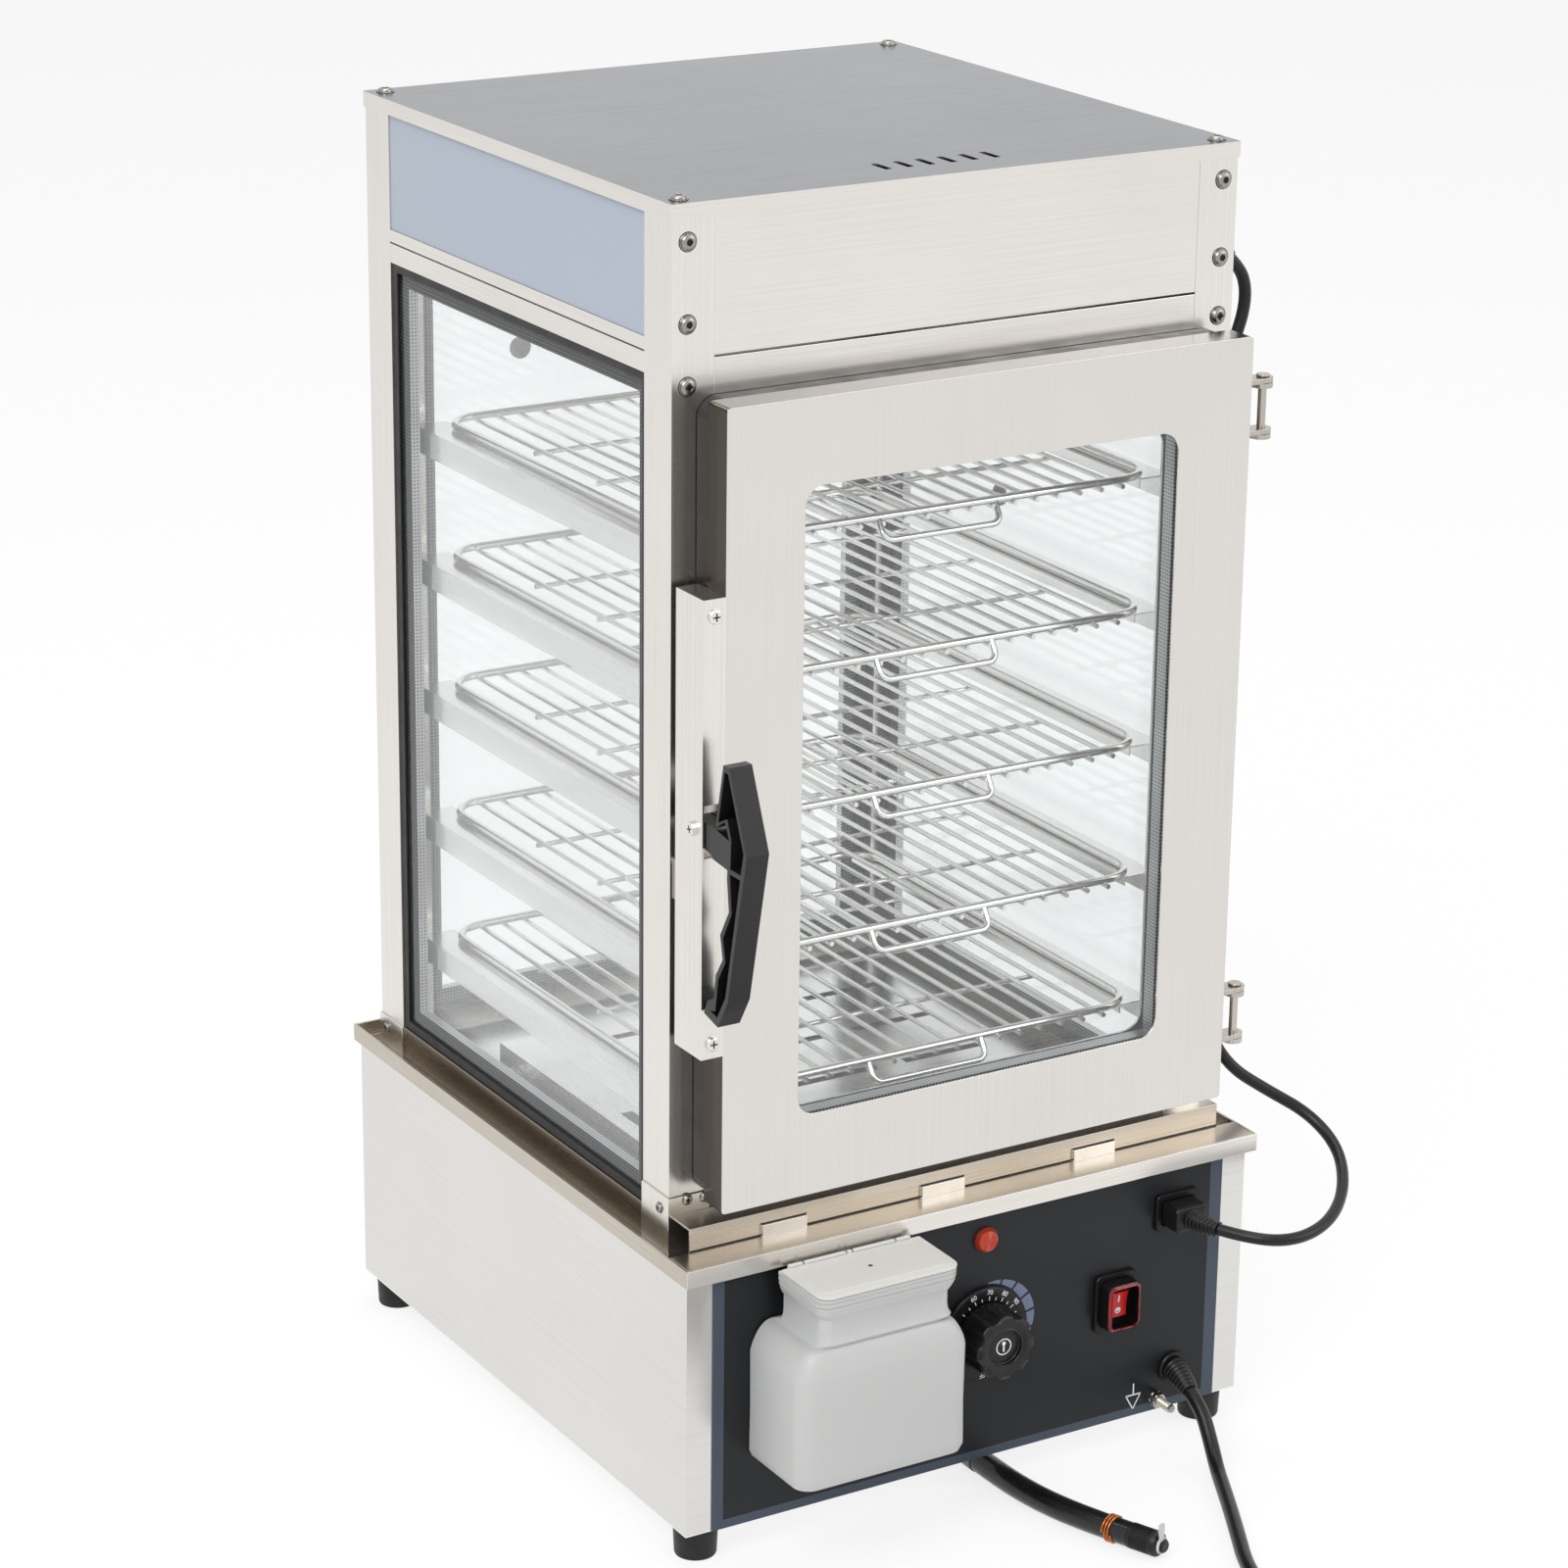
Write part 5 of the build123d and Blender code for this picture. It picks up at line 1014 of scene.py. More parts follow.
@dataclass
class Studio:
    """Plain pale studio: white surroundings, a broad key from the left front and a fill."""

    floor_radius: float = 16.0
    floor_colour: str = "#f7f7f7"
    floor_share: float = 0.78
    diffuse_level: float = 0.62
    mirror_level: float = 0.95

    def build(self) -> None:
        """Makes the floor, the world and the lamps."""
        self.floor()
        self.world()
        self.lamp("key", (-2.6, -2.0, 3.4), 2.6, 105.0)
        self.lamp("fill", (2.8, -2.6, 2.2), 2.6, 38.0)
        self.lamp("top", (0.3, 0.4, 3.8), 2.2, 40.0)
        bpy.context.scene.view_settings.view_transform = "Standard"

    def floor(self) -> None:
        """Makes a large round floor, white to the camera and still shaded under the object."""
        work = bmesh.new()
        right, back = Vector((1, 0, 0)), Vector((0, 1, 0))
        radii = (600.0, 2000.0, self.floor_radius / MM)
        bridge(work, [[Vector()]] + [circle(Vector(), right, back, radius, 64) for radius in radii], cap=False)
        mesh = closed_mesh("studio_floor", work)
        paper = bpy.data.materials.new("studio paper")
        tree = cleared(paper)
        path = add(tree, "ShaderNodeLightPath").outputs
        seen = calc(tree, "MAXIMUM", path["Is Camera Ray"], path["Is Glossy Ray"])
        through = calc(tree, "MAXIMUM", seen, path["Is Transmission Ray"])
        matt = add(tree, "ShaderNodeBsdfDiffuse", {"Color": linear(self.floor_colour)})
        glow = add(tree, "ShaderNodeEmission", {"Color": (1, 1, 1, 1), "Strength": 1.0})
        both = layered(tree, calc(tree, "MULTIPLY", through, self.floor_share), matt, glow)
        add(tree, "ShaderNodeOutputMaterial", {"Surface": both.outputs[0]})
        mesh.materials.append(paper)
        show("studio_floor", mesh)

    def world(self) -> None:
        """Sets white surroundings for the camera and a softer level for what lights the object."""
        world = bpy.data.worlds.new("studio air")
        bpy.context.scene.world = world
        tree = cleared(world)
        path = add(tree, "ShaderNodeLightPath").outputs
        seen = calc(tree, "MAXIMUM", path["Is Camera Ray"], path["Is Transmission Ray"])
        white, air, shine = (add(tree, "ShaderNodeBackground", {"Color": (1, 1, 1, 1), "Strength": level})
                             for level in (1.0, self.diffuse_level, self.mirror_level))
        both = layered(tree, seen, layered(tree, path["Is Glossy Ray"], air, shine), white)
        add(tree, "ShaderNodeOutputWorld", {"Surface": both.outputs[0]})

    def lamp(self, name: str, place: Sequence[float], size: float, power: float) -> None:
        """Adds a square area lamp that looks at the cabinet's middle."""
        data = bpy.data.lights.new(name, "AREA")
        data.size = size
        data.energy = power
        made = show(name, data)
        made.location = place
        aim = Vector((0, 0, 0.4)) - Vector(place)
        made.rotation_mode = "QUATERNION"
        made.rotation_quaternion = aim.to_track_quat("-Z", "Y")


class Recess(Enum):
    """What a screw's head is driven by."""

    HEXAGON = "hexagon"
    CROSS = "cross"


@dataclass
class Fasteners:
    """Pan-head screws of the posts, the top cover, the shoes and the latch, each on its washer."""

    head_radius: float = 4.5
    washer_radius: float = 5.2
    rise: float = 2.6
    socket: float = 1.9
    post_x: float = 176.8
    socket_levels: Pair = (774.6, 729.4)
    cross_level: float = 695.0
    top_place: Triple = (177.5, 176.2, 796.0)
    shoe_front: tuple[Pair, ...] = ((-175.0, 215.3), (-163.5, 214.6), (-174.8, 199.6))
    latch_levels: Pair = (325.0, 575.0)

    def head(self, scale: float = 1.0) -> Mesh:
        """Makes one head with its washer and its round well, z going out."""
        well = self.socket
        profile = [
            (0, 0), (self.washer_radius, 0), (self.washer_radius, 0.45), (self.washer_radius - 0.2, 0.65),
            (self.head_radius, 0.65), (self.head_radius, 1.3), (4.2, 1.9), (3.5, 2.4), (2.6, self.rise),
            (2.1, self.rise), (well, self.rise - 0.15), (well, 1.1), (0, 1.0),
        ]
        work = bmesh.new()
        lathe(work, Matrix.Scale(scale, 4), profile, 36)
        return closed_mesh("screw_head", work, 40)

    def recess(self, kind: Recess, scale: float = 1.0) -> Mesh:
        """Makes the painted shade in a head's hexagon or cross recess, a dark solid in black housing plastic, and
        the painted shadow line round its washer.
        """
        work, place = bmesh.new(), Matrix.Scale(scale, 4)
        if kind is Recess.HEXAGON:
            lathe(work, place, [(0, 1.05), (1.88, 1.05), (1.88, 1.9), (0, 1.8)], 6)
        else:
            lathe(work, place, [(0, 1.05), (1.88, 1.05), (1.88, 2.5), (1.5, 2.62), (0, 2.62)], 24)
            for corners in ([(-2.6, 0), (2.6, 0)], [(0, -2.6), (0, 2.6)]):
                ink_strip(work, place @ Matrix.Translation((0, 0, 2.45)), corners, 0.9, 0.2)
        lathe(work, place, [(5.1, 0.0), (5.65, 0.0), (5.65, 0.12), (5.1, 0.12), (5.1, 0.0)], 32)
        return closed_mesh("screw_recess", work, 40)

    def repeated(self, shape: Mesh, places: Sequence[Vector], axis: Axis, finish: Finish) -> Mesh:
        """Sets one shape on each place by Geometry Nodes."""
        shape.transform(Matrix.Scale(MM, 4) @ place_on(axis, (0, 0, 0)) @ Matrix.Scale(1 / MM, 4))
        template = bpy.data.objects.new("head_template", shape)
        group = NodeGroup("screws")
        sizes = group.sizes(Size=1.0)
        source = add(group.tree, "GeometryNodeObjectInfo", {"Object": template})
        points = add(group.tree, "GeometryNodeMeshToPoints", {"Mesh": sizes.outputs["Geometry"]})
        set_on = add(group.tree, "GeometryNodeInstanceOnPoints", {
            "Points": points.outputs[0], "Instance": source.outputs["Geometry"], "Scale": sizes.outputs["Size"]})
        group.finish(set_on.outputs[0], finish)
        base = bpy.data.meshes.new("screw_places")
        base.from_pydata([tuple(p * MM) for p in places], [], [])
        made = group.mesh(base)
        bpy.data.objects.remove(template)
        return made

    def build(self) -> None:
        """Makes all the heads and the painted shade in their recesses."""
        sockets = [Vector((side * self.post_x, FRONT_Y, z)) for z in self.socket_levels for side in (-1, 1)]
        crosses = [Vector((side * self.post_x, FRONT_Y, self.cross_level)) for side in (-1, 1)]
        small = [Vector((x, FRONT_Y - 1.2, z)) for x, z in self.shoe_front]
        left = [Vector((-187.7, -176.6, 209.3)), Vector((-187.7, 176.0, 196.5))]
        x, y, z = self.top_place
        top = [Vector((sx * x, sy * y, z)) for sx in (-1, 1) for sy in (-1, 1)]
        groups = (
            (sockets, Axis.FRONT, Recess.HEXAGON, 1.0), (crosses, Axis.FRONT, Recess.CROSS, 1.0),
            (small, Axis.FRONT, Recess.CROSS, 0.62), (left, Axis.LEFT, Recess.CROSS, 0.62),
            (top, Axis.UP, Recess.HEXAGON, 1.0),
        )
        heads, shade_wells = [], []
        for places, axis, kind, scale in groups:
            heads.append(self.repeated(self.head(scale), places, axis, SCREW))
            # The recesses are dark solids in black housing plastic: painted shade, not a part of the screw.
            shade_wells.append(self.repeated(self.recess(kind, scale), places, axis, BODY_BLACK))
        shown = piece("frame_screw_heads", merged("screws", heads), SCREW, ["frame_screws"])
        piece("frame_screw_recesses", merged("recesses", shade_wells), BODY_BLACK).parent = shown
        self.latch_cross_shade()

    def latch_cross_shade(self) -> None:
        """Paints shade as dark crosses in the latch box's own screws and in the pivot's head."""
        work = bmesh.new()
        for level in self.latch_levels:
            face = place_on(Axis.FRONT, (-179.15, -222.7, level))
            for corners in ([(-2.3, 0), (2.3, 0)], [(0, -2.3), (0, 2.3)]):
                ink_strip(work, face, corners, 0.8, 0.12)
        pivot = place_on(Axis.LEFT, (-188.7, -210.0, 451.0))
        for corners in ([(-2.1, -0.6), (2.1, 0.6)], [(0.6, -2.1), (-0.6, 2.1)]):
            ink_strip(work, pivot, corners, 0.8, 0.1)
        solid("latch_screw_crosses", work, BODY_BLACK, body="door")


@dataclass
class WireRacks:
    """Five chrome wire racks: a bent outer rod, 18 wires, 3 cross rods and a pull loop."""

    half_width: float = 151.5
    front: float = -160.0
    back: float = 148.0
    rod: float = 2.5
    wire: float = 1.5
    pitch: float = 15.0
    count: int = 18
    reach: float = 3.5
    drop: float = 3.4
    cross_drop: float = 5.8
    pull_half: float = 39.5

    def tree(self) -> NodeGroup:
        """Makes the tree that lays the wires and the cross rods under the bent rod."""
        group = NodeGroup("rack wires")
        sizes = group.sizes(Count=self.count, Pitch=self.pitch * MM, Wire=self.wire * MM, Level=0.0)
        tree = group.tree
        length = (self.back - self.front + 2 * self.reach) * MM
        middle = (self.back + self.front) / 2 * MM
        half = (self.count - 1) * self.pitch / 2 * MM
        under = calc(tree, "SUBTRACT", sizes.outputs["Level"], self.drop * MM)
        start = add(tree, "ShaderNodeCombineXYZ", {0: -half, 1: middle, 2: under})
        step = add(tree, "ShaderNodeCombineXYZ", {0: sizes.outputs["Pitch"]})
        row = add(tree, "GeometryNodeMeshLine", {
            "Count": sizes.outputs["Count"], "Start Location": start.outputs[0],
            "Offset": step.outputs[0]}, mode="OFFSET")
        wire = add(tree, "GeometryNodeMeshCylinder", {
            "Vertices": 12, "Radius": sizes.outputs["Wire"], "Depth": length})
        long = add(tree, "GeometryNodeInstanceOnPoints", {
            "Points": row.outputs[0], "Instance": wire.outputs[0], "Rotation": (math.pi / 2, 0, 0)})
        lower = calc(tree, "SUBTRACT", sizes.outputs["Level"], self.cross_drop * MM)
        gap = (self.back - self.front) / 4 * MM
        cross_start = add(tree, "ShaderNodeCombineXYZ", {0: 0.0, 1: self.front * MM + gap, 2: lower})
        column = add(tree, "GeometryNodeMeshLine", {
            "Count": 3, "Start Location": cross_start.outputs[0], "Offset": (0, gap, 0)}, mode="OFFSET")
        bar = add(tree, "GeometryNodeMeshCylinder", {
            "Vertices": 12, "Radius": sizes.outputs["Wire"], "Depth": 2 * half + 0.004})
        across = add(tree, "GeometryNodeInstanceOnPoints", {
            "Points": column.outputs[0], "Instance": bar.outputs[0], "Rotation": (0, math.pi / 2, 0)})
        joined = add(tree, "GeometryNodeJoinGeometry", {})
        for source in (across.outputs[0], long.outputs[0], sizes.outputs["Geometry"]):
            tree.links.new(source, joined.inputs[0])
        group.finish(joined.outputs[0], WIRE)
        return group

    def rods(self, level: float) -> Mesh:
        """Makes the bent outer rod and the pull loop of one rack."""
        x, work = self.half_width, bmesh.new()
        corners = [(-x, self.front, level), (x, self.front, level), (x, self.back, level),
                   (-x, self.back, level)]
        sweep(work, filleted(corners, 22.0, closed=True), self.rod, 14, closed=True)
        low_y, low_z, half = self.front - 8.0, level - 12.0, self.pull_half
        loop = [(-half, self.front, level), (-half, low_y, low_z), (half, low_y, low_z),
                (half, self.front, level)]
        sweep(work, filleted(loop, 6.0), 2.0, 12)
        return closed_mesh("rack_rods", work, 50)

    def build(self) -> None:
        """Makes the five racks, each on its own body."""
        group = self.tree()
        for number, level in enumerate(RACK_LEVELS, 1):
            made = group.mesh(self.rods(level), Level=level * MM)
            made.shade_smooth()
            made.set_sharp_from_angle(angle=math.radians(50))
            piece(f"wire_rack_{number}", made, WIRE, [f"rack_{number}"], f"rack_body_{number}")


@dataclass
class Dial:
    """Temperature dial: numbered ring, tapering print around it and the lobed knob."""

    x: float = 6.5
    z: float = 103.5
    plate_radius: float = 30.0
    plate_rise: float = 3.5
    grip_radius: float = 20.5
    scallop: float = 7.0
    print_gap: float = 1.3
    marks: tuple[tuple[str, float], ...] = (
        ("30", -93.0), ("60", -20.0), ("70", 5.0), ("80", 29.0), ("90", 52.0), ("110", 102.0))
    plain_ticks: tuple[float, ...] = (-70.0, -45.0, -32.0, -8.0, 17.0, 41.0, 65.0, 78.0, 90.0)

    def origin(self) -> Matrix:
        """Gives the dial's frame on the overlay."""
        return place_on(Axis.FRONT, (self.x, OVERLAY_Y, self.z))

    def lobed(self, angle: float, radius: float, height: float) -> float:
        """Cuts eight finger scallops into the grip."""
        if radius < 18.0 or height < 6.95:
            return radius
        turn = (angle - math.pi / 8) % (math.pi / 4)
        turn = min(turn, math.pi / 4 - turn)
        distance = self.grip_radius + 5.0
        inside = self.scallop ** 2 - (distance * math.sin(turn)) ** 2
        cut = distance * math.cos(turn) - math.sqrt(inside) if inside > 0 else radius
        return min(radius, cut - (self.grip_radius - radius) * 0.8)

    def build(self) -> None:
        """Makes the ring, the knob and the print."""
        work = bmesh.new()
        rim = self.plate_radius
        lathe(work, self.origin(), [
            (3.9, -0.2), (rim, -0.2), (rim, 2.5), (rim - 0.3, 3.1), (rim - 0.9, self.plate_rise),
            (21.4, self.plate_rise), (20.9, 3.2), (3.9, 3.2), (3.9, -0.2)], 72)
        solid("dial_ring", work, DIAL, ["dial_plate"])
        grip = bmesh.new()
        face = self.grip_radius
        lathe(grip, self.origin(), [
            (0, 3.9), (face - 0.3, 3.9), (face, 4.2), (face, 6.9), (face, 7.0), (face, 24.4), (face - 0.4, 25.3),
            (face - 1.3, 25.9), (13.0, 25.9), (12.4, 25.6), (12.0, 25.9), (11.4, 25.9), (11.0, 25.5), (11.0, 23.4),
            (10.5, 22.9), (0, 22.9)],
            144, self.lobed)
        solid("dial_knob", grip, KNOB, ["thermostat_knob"], "knob")
        ink = bmesh.new()
        top = self.origin() @ Matrix.Translation((0, 0, 22.85))
        lathe(ink, top, [(4.6, 0.0), (5.3, 0.0), (5.3, 0.12), (4.6, 0.12), (4.6, 0.0)], 48)
        ink_strip(ink, top, [(0, -3.2), (0, 2.2)], 1.1, 0.12)
        lathe(ink, top @ Matrix.Translation((0, 2.2, 0)), [(0, 0), (1.3, 0), (1.3, 0.13), (0, 0.13)], 20)
        solid("dial_knob_print", ink, INK, body="knob")
        self.numbers()
        self.sweep_print()

    def numbers(self) -> None:
        """Prints the numbers, OFF and the ticks on the ring."""
        face = self.origin() @ Matrix.Translation((0, 0, self.plate_rise))
        marks = self.marks + (("OFF", 180.0),)
        meshes = []
        for text, angle in marks:
            turn = Matrix.Rotation(-math.radians(angle), 4, "Z")
            meshes.append(print_mesh(text, text, 3.1, face @ turn @ Matrix.Translation((0, 26.8, 0)), 0.16))
        ticks = bmesh.new()
        for angle, far in [(a, 24.4) for _, a in marks] + [(a, 23.6) for a in self.plain_ticks]:
            turn = Matrix.Rotation(-math.radians(angle), 4, "Z")
            ink_strip(ticks, face @ turn, [(0, 21.7), (0, far)], 0.5, 0.08)
        meshes.append(closed_mesh("dial_ticks", ticks))
        piece("dial_numbers", merged("dial_numbers", meshes), INK)

    def sweep_print(self) -> None:
        """Prints six blocks around the ring that grow and taper off."""
        work = bmesh.new()
        start, end, blocks = 4.0, 116.0, 6
        for index in range(blocks):
            low = start + (end - start) * index / blocks + self.print_gap
            high = start + (end - start) * (index + 1) / blocks - self.print_gap
            points = []
            for reach, order in ((0.0, range(9)), (1.0, range(8, -1, -1))):
                for k in order:
                    angle = low + (high - low) * k / 8
                    share = (angle - start) / (end - start)
                    width = 6.4 * math.sin(math.pi * share ** 1.25) ** 0.75 + 0.25
                    radius = 30.9 + width * reach
                    turn = math.radians(angle)
                    points.append((radius * math.sin(turn), radius * math.cos(turn)))
            bridge(work, [[self.origin() @ Vector((x, y, z)) for x, y in points] for z in (0.0, 0.09)])
        solid("dial_sweep_print", work, SLATE_INK)


@dataclass
class Switch:
    """Rocker switch under its clear red splash cover, in a rounded bezel."""

    x: float = 101.5
    z: float = 102.0
    tilt: float = 7.0
    pivot_y: float = -223.1

    def origin(self) -> Matrix:
        """Gives the switch's frame on the overlay."""
        return place_on(Axis.FRONT, (self.x, OVERLAY_Y, self.z))

    def stepped(self, name: str, rows: Sequence[tuple[float, ...]], finish: Finish,
                nodes: Sequence[str]) -> Object:
        """Makes a rounded block from rows of half width, half height, corner and level."""
        work = bmesh.new()
        loft(work, self.origin(), rows, 7)
        return solid(name, work, finish, nodes)

    def build(self) -> None:
        """Makes the bezel, the rocker with its marks and the cover."""
        self.stepped("switch_bezel", [
            (12.3, 16.3, 3.0, -25.0), (12.3, 16.3, 3.0, -0.1), (15, 19, 4, -0.1), (15, 19, 4, 2.2),
            (14.5, 18.5, 3.6, 3.0), (12.6, 15.9, 4.6, 3.0), (12.3, 15.6, 4.6, 2.4), (7.3, 9.9, 1.0, 2.4),
            (7.3, 9.9, 1.0, -8.9)], BODY_BLACK, ["switch_housing"])
        cover = self.stepped("switch_cover", [
            (12.2, 15.5, 5.0, 2.5), (12.2, 15.5, 5.0, 9.4), (11.7, 15.0, 4.6, 11.6), (10.6, 13.9, 3.8, 12.7),
            (9.8, 13.1, 3.2, 13.0), (9.6, 12.9, 3.0, 11.9), (10.9, 14.2, 4.2, 10.9), (11.2, 14.5, 4.2, 9.0),
            (11.2, 14.5, 4.2, 2.5), (12.2, 15.5, 5.0, 2.5)], BOOT, ["switch_boot"])
        second_finish(cover, BODY_BLACK, lambda centre, normal: centre.y > OVERLAY_Y - 11.0)
        self.rocker()

    def rocker(self) -> None:
        """Makes the concave rocker, tipped to its off side, with I and O on it."""
        half_w, half_h, front = 6.5, 8.5, self.pivot_y - 6.5
        tip = (Matrix.Translation((0, self.pivot_y, self.z)) @ Matrix.Rotation(math.radians(self.tilt), 4, "X")
               @ Matrix.Translation((0, -self.pivot_y, -self.z)))
        work = bmesh.new()
        rings = []
        for share, inset in ((-1.0, 0.35), (-0.96, 0.0), (0.96, 0.0), (1.0, 0.35)):
            ring = []
            for i in range(17):
                z = -half_h + 2 * half_h * i / 16
                hollow = 42.8 - math.sqrt(42.8 ** 2 - z * z)
                ring.append(tip @ Vector((self.x + share * half_w, front + 0.8 - hollow + inset, self.z + z)))
            x, back = self.x + share * half_w, self.pivot_y + 2.0
            ring += [tip @ Vector((x, back, self.z + side * half_h)) for side in (1, -1)]
            rings.append(ring)
        bridge(work, rings)
        solid("switch_rocker", work, ROCKER_RED, ["rocker"], "rocker_body")
        marks = bmesh.new()
        upper = tip @ place_on(Axis.FRONT, (self.x, front + 0.55, self.z + 4.0))
        ink_strip(marks, upper, [(0, -2.4), (0, 2.4)], 0.9, 0.25)
        lower = tip @ place_on(Axis.FRONT, (self.x, front + 0.55, self.z - 4.2))
        lathe(marks, lower, [(1.3, 0.0), (2.1, 0.0), (2.1, 0.25), (1.3, 0.25), (1.3, 0.0)], 32)
        solid("switch_marks", marks, INK, body="rocker_body")


@dataclass
class PanelFittings:
    """Lamp, lamp outlet, cord gland, grommet and bonding stud of the front panel."""

    lamp: Pair = (6.5, 164.1)
    socket: Pair = (144.8, 152.9)
    gland: Pair = (147.0, 46.7)
    stud: Pair = (134.0, 29.0)

    def build(self) -> None:
        """Makes each fitting."""
        self.neon()
        self.outlet()
        self.glands()
        self.bonding()

    def neon(self) -> None:
        """Makes the ribbed red lens in its bezel."""
        place = place_on(Axis.FRONT, (self.lamp[0], OVERLAY_Y, self.lamp[1]))
        work = bmesh.new()
        lathe(work, place, [
            (0, -18.0), (5.7, -18.0), (5.7, 0.0), (8.2, 0.0), (8.2, 1.2), (7.9, 1.8), (7.3, 2.0), (7.0, 1.4),
            (0, 1.4)], 48)
        bezel = solid("lamp_bezel", work, LENS_RIM, ["indicator_lamp"])
        glow = bmesh.new()
        lathe(glow, place, [
            (0, 1.2), (6.9, 1.2), (6.9, 3.2), (6.3, 4.3), (5.2, 4.8), (4.6, 4.5), (4.0, 4.9), (3.4, 4.6),
            (2.8, 4.98), (2.2, 4.7), (1.6, 5.0), (0.9, 4.8), (0, 5.0)], 48)
        solid("lamp_lens", glow, LENS).parent = bezel

    def outlet(self) -> None:
        """Makes the outlet's frame and body around the plug's well."""
        work = bmesh.new()
        loft(work, place_on(Axis.FRONT, (self.socket[0], OVERLAY_Y, self.socket[1])), [
            (12.8, 9.3, 1.0, -22.8), (12.8, 9.3, 1.0, -0.1), (15.5, 12, 3, -0.1), (15.5, 12, 3, 2.3),
            (15.0, 11.5, 2.6, 3.0), (12.4, 8.6, 2.6, 3.0), (11.8, 8.05, 2.6, 2.4), (11.8, 8.05, 2.6, -4.9)])
        solid("outlet_frame", work, BODY_BLACK, ["output_socket"])

    def glands(self) -> None:
        """Makes the mains gland with its domed nut and ribs, and the lamp lead's grommet."""
        place = place_on(Axis.FRONT, (self.gland[0], OVERLAY_Y, self.gland[1]))
        work = bmesh.new()
        lathe(work, place, [
            (0, -8.8), (7.6, -8.8), (7.6, -0.1), (10.15, -0.1), (10.15, 2.2), (9.6, 3.0), (8.05, 3.0),
            (0, 3.0)], 40)
        start, end = Vector((147.0, -226.6, 46.7)), Vector((147.0, -244.1, 38.0))
        bend, last_way = Vector((147.0, -235.5, 44.6)), Vector((0, -0.9, -0.43))
        curved_sleeve(work, start, bend, end, last_way, (8.0, 5.85), 0.35)
        gland = closed_mesh("mains_gland", work)
        ring = bmesh.new()
        side = place_on(Axis.RIGHT, (HALF_WIDTH, -170.0, 730.5))
        lathe(ring, side, [(0, -2.5), (4.4, -2.5), (4.4, 0), (7.5, 0), (7.5, 1.6), (6.6, 2.5), (0, 2.5)], 32)
        end, before = Vector((194.0, -170.0, 725.0)), Vector((202.6, -170.1, 717.5))
        way = (end - before).normalized()
        across = way.cross(Vector((0, 1, 0))).normalized()
        lathe(ring, aligned(end, across, way.cross(across), way), [
            (0, -0.6), (4.3, -0.6), (5.0, 0.2), (5.1, 6.5), (0, 6.5)], 32)
        mesh = merged("cord_entries", [gland, closed_mesh("grommet", ring)])
        piece("cord_entries", mesh, PVC, ["cord_glands"])

    def bonding(self) -> None:
        """Makes the threaded stud and its two hexagon nuts."""
        place = place_on(Axis.FRONT, (self.stud[0], OVERLAY_Y, self.stud[1]))
        work = bmesh.new()
        profile = [(0, -8.8), (2.8, -8.8)]
        for i in range(27):
            low = -8.4 + i * 1.0
            profile += [(2.6, low), (3.0, low + 0.45), (2.6, low + 0.9)]
        lathe(work, place, profile + [(2.3, 20.0), (0, 20.0)], 24)

        def six(angle: float, radius: float, height: float) -> float:
            """Gives the nut's flats."""
            flat = 4.33 / math.cos(angle % (math.pi / 3) - math.pi / 6)
            return radius if radius < 4.4 else min(radius, flat)
        for low in (0.0, 4.2):
            lathe(work, place, [(2.9, low), (4.4, low), (5.0, low + 0.4), (5.0, low + 2.8), (4.4, low + 3.2),
                                (2.9, low + 3.2), (2.9, low)], 48, six)
        solid("bonding_stud", work, NUT, ["earth_stud"], smooth_deg=25.0)
        mark = bmesh.new()
        face = place_on(Axis.FRONT, (self.stud[0] - 15.0, OVERLAY_Y, self.stud[1] + 2.5))
        ink_strip(mark, face, [(0, 10.0), (0, 2.6)], 0.8)
        ink_strip(mark, face, [(-5.6, 2.4), (5.6, 2.4)], 0.8)
        ink_strip(mark, face, [(-5.4, 2.4), (0.0, -7.0)], 0.7)
        ink_strip(mark, face, [(5.4, 2.4), (0.0, -7.0)], 0.7)
        solid("bonding_mark", mark, INK)


